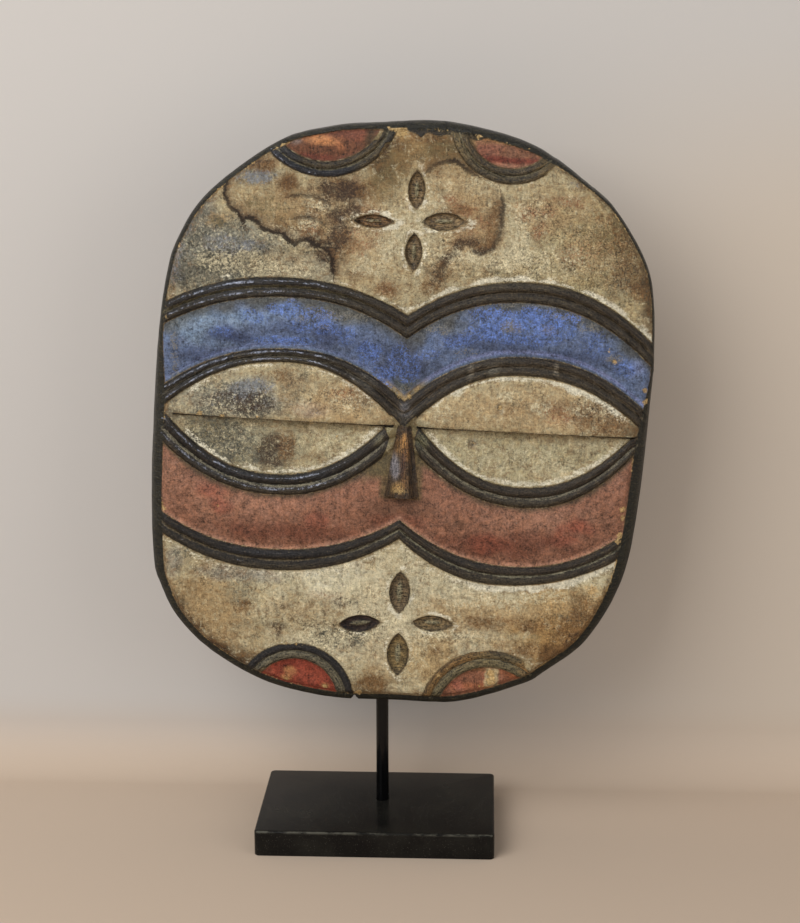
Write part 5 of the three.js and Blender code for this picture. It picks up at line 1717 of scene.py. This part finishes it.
def backdrop_paint(look):
    """Matt paint, clear when seen from behind so that the wall doesn't hide the mask's back."""
    n = Nodes("backdrop")
    rightwards, _, up = n.apart()
    # Painted warm tint that stands in for the light and shadow on the lower right of the wall
    warm_light_tint = n.times(n.between(rightwards, *WARM_LIGHT_FROM_LEFT), n.between(up, *WARM_LIGHT_FROM_TOP))
    wall = n.blend(warm_light_tint, paint(look.wall_tone), paint(look.wall_light_tint_right))
    n.finish(n.blend(n.between(up, *FLOOR_TO_WALL), paint(look.floor_tone), wall), 0.9, specular=0.1)
    seen = n.tree.nodes.new("ShaderNodeNewGeometry")
    clear = n.tree.nodes.new("ShaderNodeBsdfTransparent")
    either = n.tree.nodes.new("ShaderNodeMixShader")
    n.link(seen.outputs["Backfacing"], either.inputs[0])
    n.link(n.shader.outputs[0], either.inputs[1])
    n.link(clear.outputs[0], either.inputs[2])
    n.link(either.outputs[0], n.tree.nodes["Material Output"].inputs["Surface"])
    return n.material


# Settings that the panel shows

def number_property(text, description, default, **kind):
    return bpy.props.FloatProperty(name=text, description=description, default=default, **kind)


def length_property(text, description, default):
    return number_property(text, description, default, unit="LENGTH")


def roughness_property(text, default):
    return number_property(
        f"{text} roughness", f"Roughness of the {text.lower()}", default, min=0, max=1, subtype="FACTOR")


def tone_property(text, default):
    return bpy.props.FloatVectorProperty(
        name=text, description=f"Colour of the {text.lower()}", default=default, size=3, min=0, max=255)


def lengths_property(text, description, default):
    return bpy.props.FloatVectorProperty(
        name=text, description=description, default=default, size=len(default), unit="LENGTH",
        subtype="XYZ")


class MaskShape(bpy.types.PropertyGroup):
    lean: number_property("Lean", "Turn of the face from upright, in degrees", 2.3)
    ridge_height: length_property("Ridge height", "Height of the ridge pairs", 0.0022)
    band_swell: length_property("Band swell", "Rise of the painted bands", 0.003)
    lid_overhang: length_property("Lid overhang", "How far the lids stand over the slit", 0.0055)
    petal_depth: length_property("Petal depth", "Depth of the petals", 0.0026)
    tool_marks: length_property("Tool marks", "Height of the marks left by carving", 0.00035)


class PaintLook(bpy.types.PropertyGroup):
    ground_roughness: roughness_property("Ground", 0.72)
    ink_roughness: roughness_property("Black paint", 0.36)


class StandSizes(bpy.types.PropertyGroup):
    base_size: lengths_property("Base size", "Width, depth and thickness of the base", (0.16, 0.106, 0.0175))
    corner_radius: length_property("Corner radius", "Rounding of the upright corners", 0.0035)
    edge_round: length_property("Edge round", "Rounding of the upper edge", 0.0012)
    rod_radius: length_property("Rod radius", "Radius of the rod", 0.00425)
    rod_place: lengths_property("Rod place", "Where the rod stands on the base", (0.0028, 0.0052))
    rod_ends: lengths_property("Rod ends", "Lower and upper end of the rod", (0.0078, 0.1357))
    rod_gap: length_property("Rod gap", "Room between the rod and its holes", 0.0003)
    base_roughness: roughness_property("Base", 0.14)
    rod_roughness: roughness_property("Rod", 0.18)


class StageLook(bpy.types.PropertyGroup):
    wall_tone: tone_property("Wall", (203, 199, 195))
    # Painted warm tint of light and shadow on the lower right of the wall
    wall_light_tint_right: tone_property("Wall on the right", (206, 194, 180))
    floor_tone: tone_property("Floor", (200, 181, 162))
    key_power: number_property("Key power", "Power of the key light", 26, unit="POWER")
    fill_power: number_property("Fill power", "Power of the fill", 7, unit="POWER")
    ambient: number_property("Ambient", "Strength of the light all round", 0.42)


# Smallest bends in degrees that stay sharp in the shading, and small roundings of the stand
SHARP_BOARD = 42
SHARP_BASE = 30
SHARP_ROD = 35
SHARP_BACKDROP = 60
BAR_SIDES = 64
ROD_END_ROUND = 0.0004
FOOT_ROUND_SHARE = 0.4
SOCKET_PAST = 0.01


def deselect():
    for obj in bpy.context.selected_objects:
        obj.select_set(False)


def activate(obj):
    deselect()
    obj.select_set(True)
    bpy.context.view_layer.objects.active = obj


def apply_modifier(obj, kind, **settings):
    """Adds a modifier, applies it and checks that it is gone."""
    activate(obj)
    modifier = obj.modifiers.new(kind.title(), kind)
    for name, value in settings.items():
        setattr(modifier, name, value)
    bpy.ops.object.modifier_apply(modifier=modifier.name)
    if obj.modifiers:
        raise RuntimeError(f"{kind} could not be applied to {obj.name}")


def take_new(name):
    """Names the object that was just added and applies its place and size."""
    obj = bpy.context.active_object
    obj.name = name
    bpy.ops.object.transform_apply(location=True, rotation=True, scale=True)
    return obj


def add_bar(name, radius, bottom, top, place):
    """Upright round bar between two heights."""
    deselect()
    middle = (*place, (bottom + top) / 2)
    bpy.ops.mesh.primitive_cylinder_add(
        vertices=BAR_SIDES, radius=radius, depth=top - bottom, location=middle)
    return take_new(name)


def cut_with(obj, cutter):
    """Takes the cutter's form out of an object and removes the cutter."""
    apply_modifier(obj, "BOOLEAN", operation="DIFFERENCE", solver="EXACT", object=cutter)
    activate(cutter)
    bpy.ops.object.delete()
    if len(obj.data.polygons) < 6:
        raise RuntimeError(f"Nothing is left of {obj.name}")


def smooth_shading(obj, degrees):
    activate(obj)
    bpy.ops.object.shade_smooth_by_angle(angle=math.radians(degrees))


class MASK_OT_board(bpy.types.Operator):
    """Carve and paint the board of the mask"""
    bl_idname = "teke_mask.board"
    bl_label = "Mask"

    def execute(self, context):
        scene = context.scene
        stand = scene.stand_sizes
        points, faces = board_mesh(scene.mask_shape)
        board = make_object("mask_look", points, faces)
        gap = stand.rod_gap
        cut_with(board, add_bar(
            "hole", stand.rod_radius + gap, 0.0, stand.rod_ends[1] + gap, stand.rod_place))
        apply_modifier(board, "TRIANGULATE")
        paint_board(board)
        smooth_shading(board, SHARP_BOARD)
        board.data.materials.append(board_paint(scene.paint_look))
        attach(board, "root")
        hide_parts("mask")
        return {"FINISHED"}


class MASK_OT_base(bpy.types.Operator):
    """Make the base plate of the stand"""
    bl_idname = "teke_mask.base"
    bl_label = "Base"

    def execute(self, context):
        stand = context.scene.stand_sizes
        width, depth, thickness = stand.base_size
        deselect()
        bpy.ops.mesh.primitive_cube_add(
            size=1, location=(0, 0, thickness / 2), scale=(width, depth, thickness))
        base = take_new("base_look")
        round_edges(base, is_upright, stand.corner_radius, 10)
        round_edges(base, lambda a, b: is_level(a, b, thickness), stand.edge_round, 5)
        round_edges(base, lambda a, b: is_level(a, b, 0.0), stand.edge_round * FOOT_ROUND_SHARE, 3)
        gap = stand.rod_gap
        cut_with(base, add_bar(
            "socket", stand.rod_radius + gap, stand.rod_ends[0] - gap, thickness + SOCKET_PAST,
            stand.rod_place))
        smooth_shading(base, SHARP_BASE)
        base.data.materials.append(base_paint(stand))
        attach(base, "root")
        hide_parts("base")
        return {"FINISHED"}


def is_upright(a, b):
    return abs(a.z - b.z) > 0.005


def is_level(a, b, height):
    return abs(a.z - height) < 1e-6 and abs(b.z - height) < 1e-6


def round_edges(obj, choose, radius, segments):
    """Rounds the edges whose two ends pass the choice."""
    mesh = obj.data
    name = "bevel_weight_edge"
    weights = mesh.attributes.get(name) or mesh.attributes.new(name, "FLOAT", "EDGE")
    for edge, weight in zip(mesh.edges, weights.data):
        a, b = (mesh.vertices[index].co for index in edge.vertices)
        weight.value = 1.0 if choose(a, b) else 0.0
    apply_modifier(obj, "BEVEL", width=radius, segments=segments, limit_method="WEIGHT")


class MASK_OT_rod(bpy.types.Operator):
    """Make the rod between the base and the mask"""
    bl_idname = "teke_mask.rod"
    bl_label = "Rod"

    def execute(self, context):
        stand = context.scene.stand_sizes
        rod = add_bar("rod_look", stand.rod_radius, *stand.rod_ends, stand.rod_place)
        apply_modifier(
            rod, "BEVEL", width=ROD_END_ROUND, segments=2, limit_method="ANGLE",
            angle_limit=math.radians(60))
        smooth_shading(rod, SHARP_ROD)
        rod.data.materials.append(rod_paint(stand))
        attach(rod, "root")
        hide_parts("rod")
        return {"FINISHED"}


# Stage

CAMERA_PLACE = (0.0705, -1.2241, 0.5484)
CAMERA_YAW = -2.574
CAMERA_PITCH = 13.31
CAMERA_ROLL = -0.104
CAMERA_LENS = 74.34
SENSOR_WIDTH = 36
SWEEP_START = 0.064
SWEEP_RADIUS = 0.036
SWEEP_STEPS = 16
FLOOR_HALF = 2.6
WALL_TOP = 2.4

# Lights: place, target, side and colour
KEY_LIGHT = ((-0.95, -1.25, 1.35), (0, 0, 0.3), 1.4, (1.0, 0.99, 0.97))
FILL_LIGHT = ((1.5, -1.3, 0.6), (0, 0, 0.25), 1.2, (1.0, 0.965, 0.91))
SKY = (0.93, 0.96, 1.0, 1.0)


def look_from(place, yaw, pitch, roll):
    """Matrix of a camera that looks along +Y, turned by three angles in degrees."""
    yaw, pitch, roll = (math.radians(angle) for angle in (yaw, pitch, roll))
    ahead = math.cos(pitch)
    forward = Vector((math.sin(yaw) * ahead, math.cos(yaw) * ahead, -math.sin(pitch)))
    level = Vector((math.cos(yaw), -math.sin(yaw), 0))
    upward = level.cross(forward)
    right = level * math.cos(roll) + upward * math.sin(roll)
    up = right.cross(forward)
    from_axes = [list(row) for row in zip(right, up, -forward)]
    return Matrix([row + [part] for row, part in zip(from_axes, place)] + [[0, 0, 0, 1]])


def add_light(name, power, place, target, side, colour):
    light = bpy.data.lights.new(name, "AREA")
    light.shape = "RECTANGLE"
    light.size = light.size_y = side
    light.energy = power
    light.color = colour
    obj = bpy.data.objects.new(name, light)
    bpy.context.scene.collection.objects.link(obj)
    obj.location = place
    obj.rotation_euler = (Vector(target) - Vector(place)).to_track_quat("-Z", "Y").to_euler()


def add_backdrop(look):
    """Floor that sweeps up into a wall behind the mask."""
    profile = [(-FLOOR_HALF, 0.0), (0.0, 0.0), (SWEEP_START, 0.0)]
    for step in range(1, SWEEP_STEPS + 1):
        angle = math.radians(90 * step / SWEEP_STEPS)
        y = SWEEP_START + SWEEP_RADIUS * math.sin(angle)
        profile.append((y, SWEEP_RADIUS * (1 - math.cos(angle))))
    profile.append((SWEEP_START + SWEEP_RADIUS, WALL_TOP))
    points = np.array([(x, y, z) for y, z in profile for x in (-FLOOR_HALF, FLOOR_HALF)])
    faces = np.array([
        face for row in range(len(profile) - 1)
        for face in ((2 * row, 2 * row + 1, 2 * row + 3), (2 * row, 2 * row + 3, 2 * row + 2))
    ])
    sweep = make_object("backdrop", points, faces)
    smooth_shading(sweep, SHARP_BACKDROP)
    sweep.data.materials.append(backdrop_paint(look))
    sweep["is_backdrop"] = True


class MASK_OT_stage(bpy.types.Operator):
    """Set up the camera, the lights and the backdrop"""
    bl_idname = "teke_mask.stage"
    bl_label = "Stage"

    def execute(self, context):
        look = context.scene.stage_look
        add_backdrop(look)
        add_light("key", look.key_power, *KEY_LIGHT)
        add_light("fill", look.fill_power, *FILL_LIGHT)
        world = bpy.data.worlds.new("studio")
        world.use_nodes = True
        sky = world.node_tree.nodes["Background"].inputs
        sky["Color"].default_value = SKY
        sky["Strength"].default_value = look.ambient
        context.scene.world = world
        camera_data = bpy.data.cameras.new("camera")
        camera_data.lens = CAMERA_LENS
        camera_data.sensor_width = SENSOR_WIDTH
        camera = bpy.data.objects.new("camera", camera_data)
        context.scene.collection.objects.link(camera)
        camera.matrix_world = look_from(CAMERA_PLACE, CAMERA_YAW, CAMERA_PITCH, CAMERA_ROLL)
        context.scene.camera = camera
        context.scene.view_settings.view_transform = "Standard"
        return {"FINISHED"}


STEPS = (MASK_OT_board, MASK_OT_base, MASK_OT_rod, MASK_OT_stage)
GROUPS = {
    "mask_shape": MaskShape,
    "paint_look": PaintLook,
    "stand_sizes": StandSizes,
    "stage_look": StageLook,
}


class MASK_PT_panel(bpy.types.Panel):
    bl_label = "Teke mask"
    bl_idname = "MASK_PT_panel"
    bl_space_type = "VIEW_3D"
    bl_region_type = "UI"
    bl_category = "Teke mask"

    def draw(self, context):
        layout = self.layout
        for group in GROUPS:
            box = layout.box()
            settings = getattr(context.scene, group)
            for name in settings.bl_rna.properties.keys():
                if name not in ("rna_type", "name"):
                    box.prop(settings, name)
        for step in STEPS:
            layout.operator(step.bl_idname)


CLASSES = (*GROUPS.values(), *STEPS, MASK_PT_panel)


def register():
    for kind in CLASSES:
        bpy.utils.register_class(kind)
    for name, group in GROUPS.items():
        setattr(bpy.types.Scene, name, bpy.props.PointerProperty(type=group))


def unregister():
    for name in GROUPS:
        delattr(bpy.types.Scene, name)
    for kind in reversed(CLASSES):
        bpy.utils.unregister_class(kind)


def main():
    register()
    bpy.ops.teke_mask.board()
    bpy.ops.teke_mask.base()
    bpy.ops.teke_mask.rod()
    bpy.ops.teke_mask.stage()
    sizes = {"cad": CAD_BOX, "visual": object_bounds()}
    sizes = {name: [[float(x) for x in corner] for corner in box] for name, box in sizes.items()}


if __name__ == "__main__":
    main()
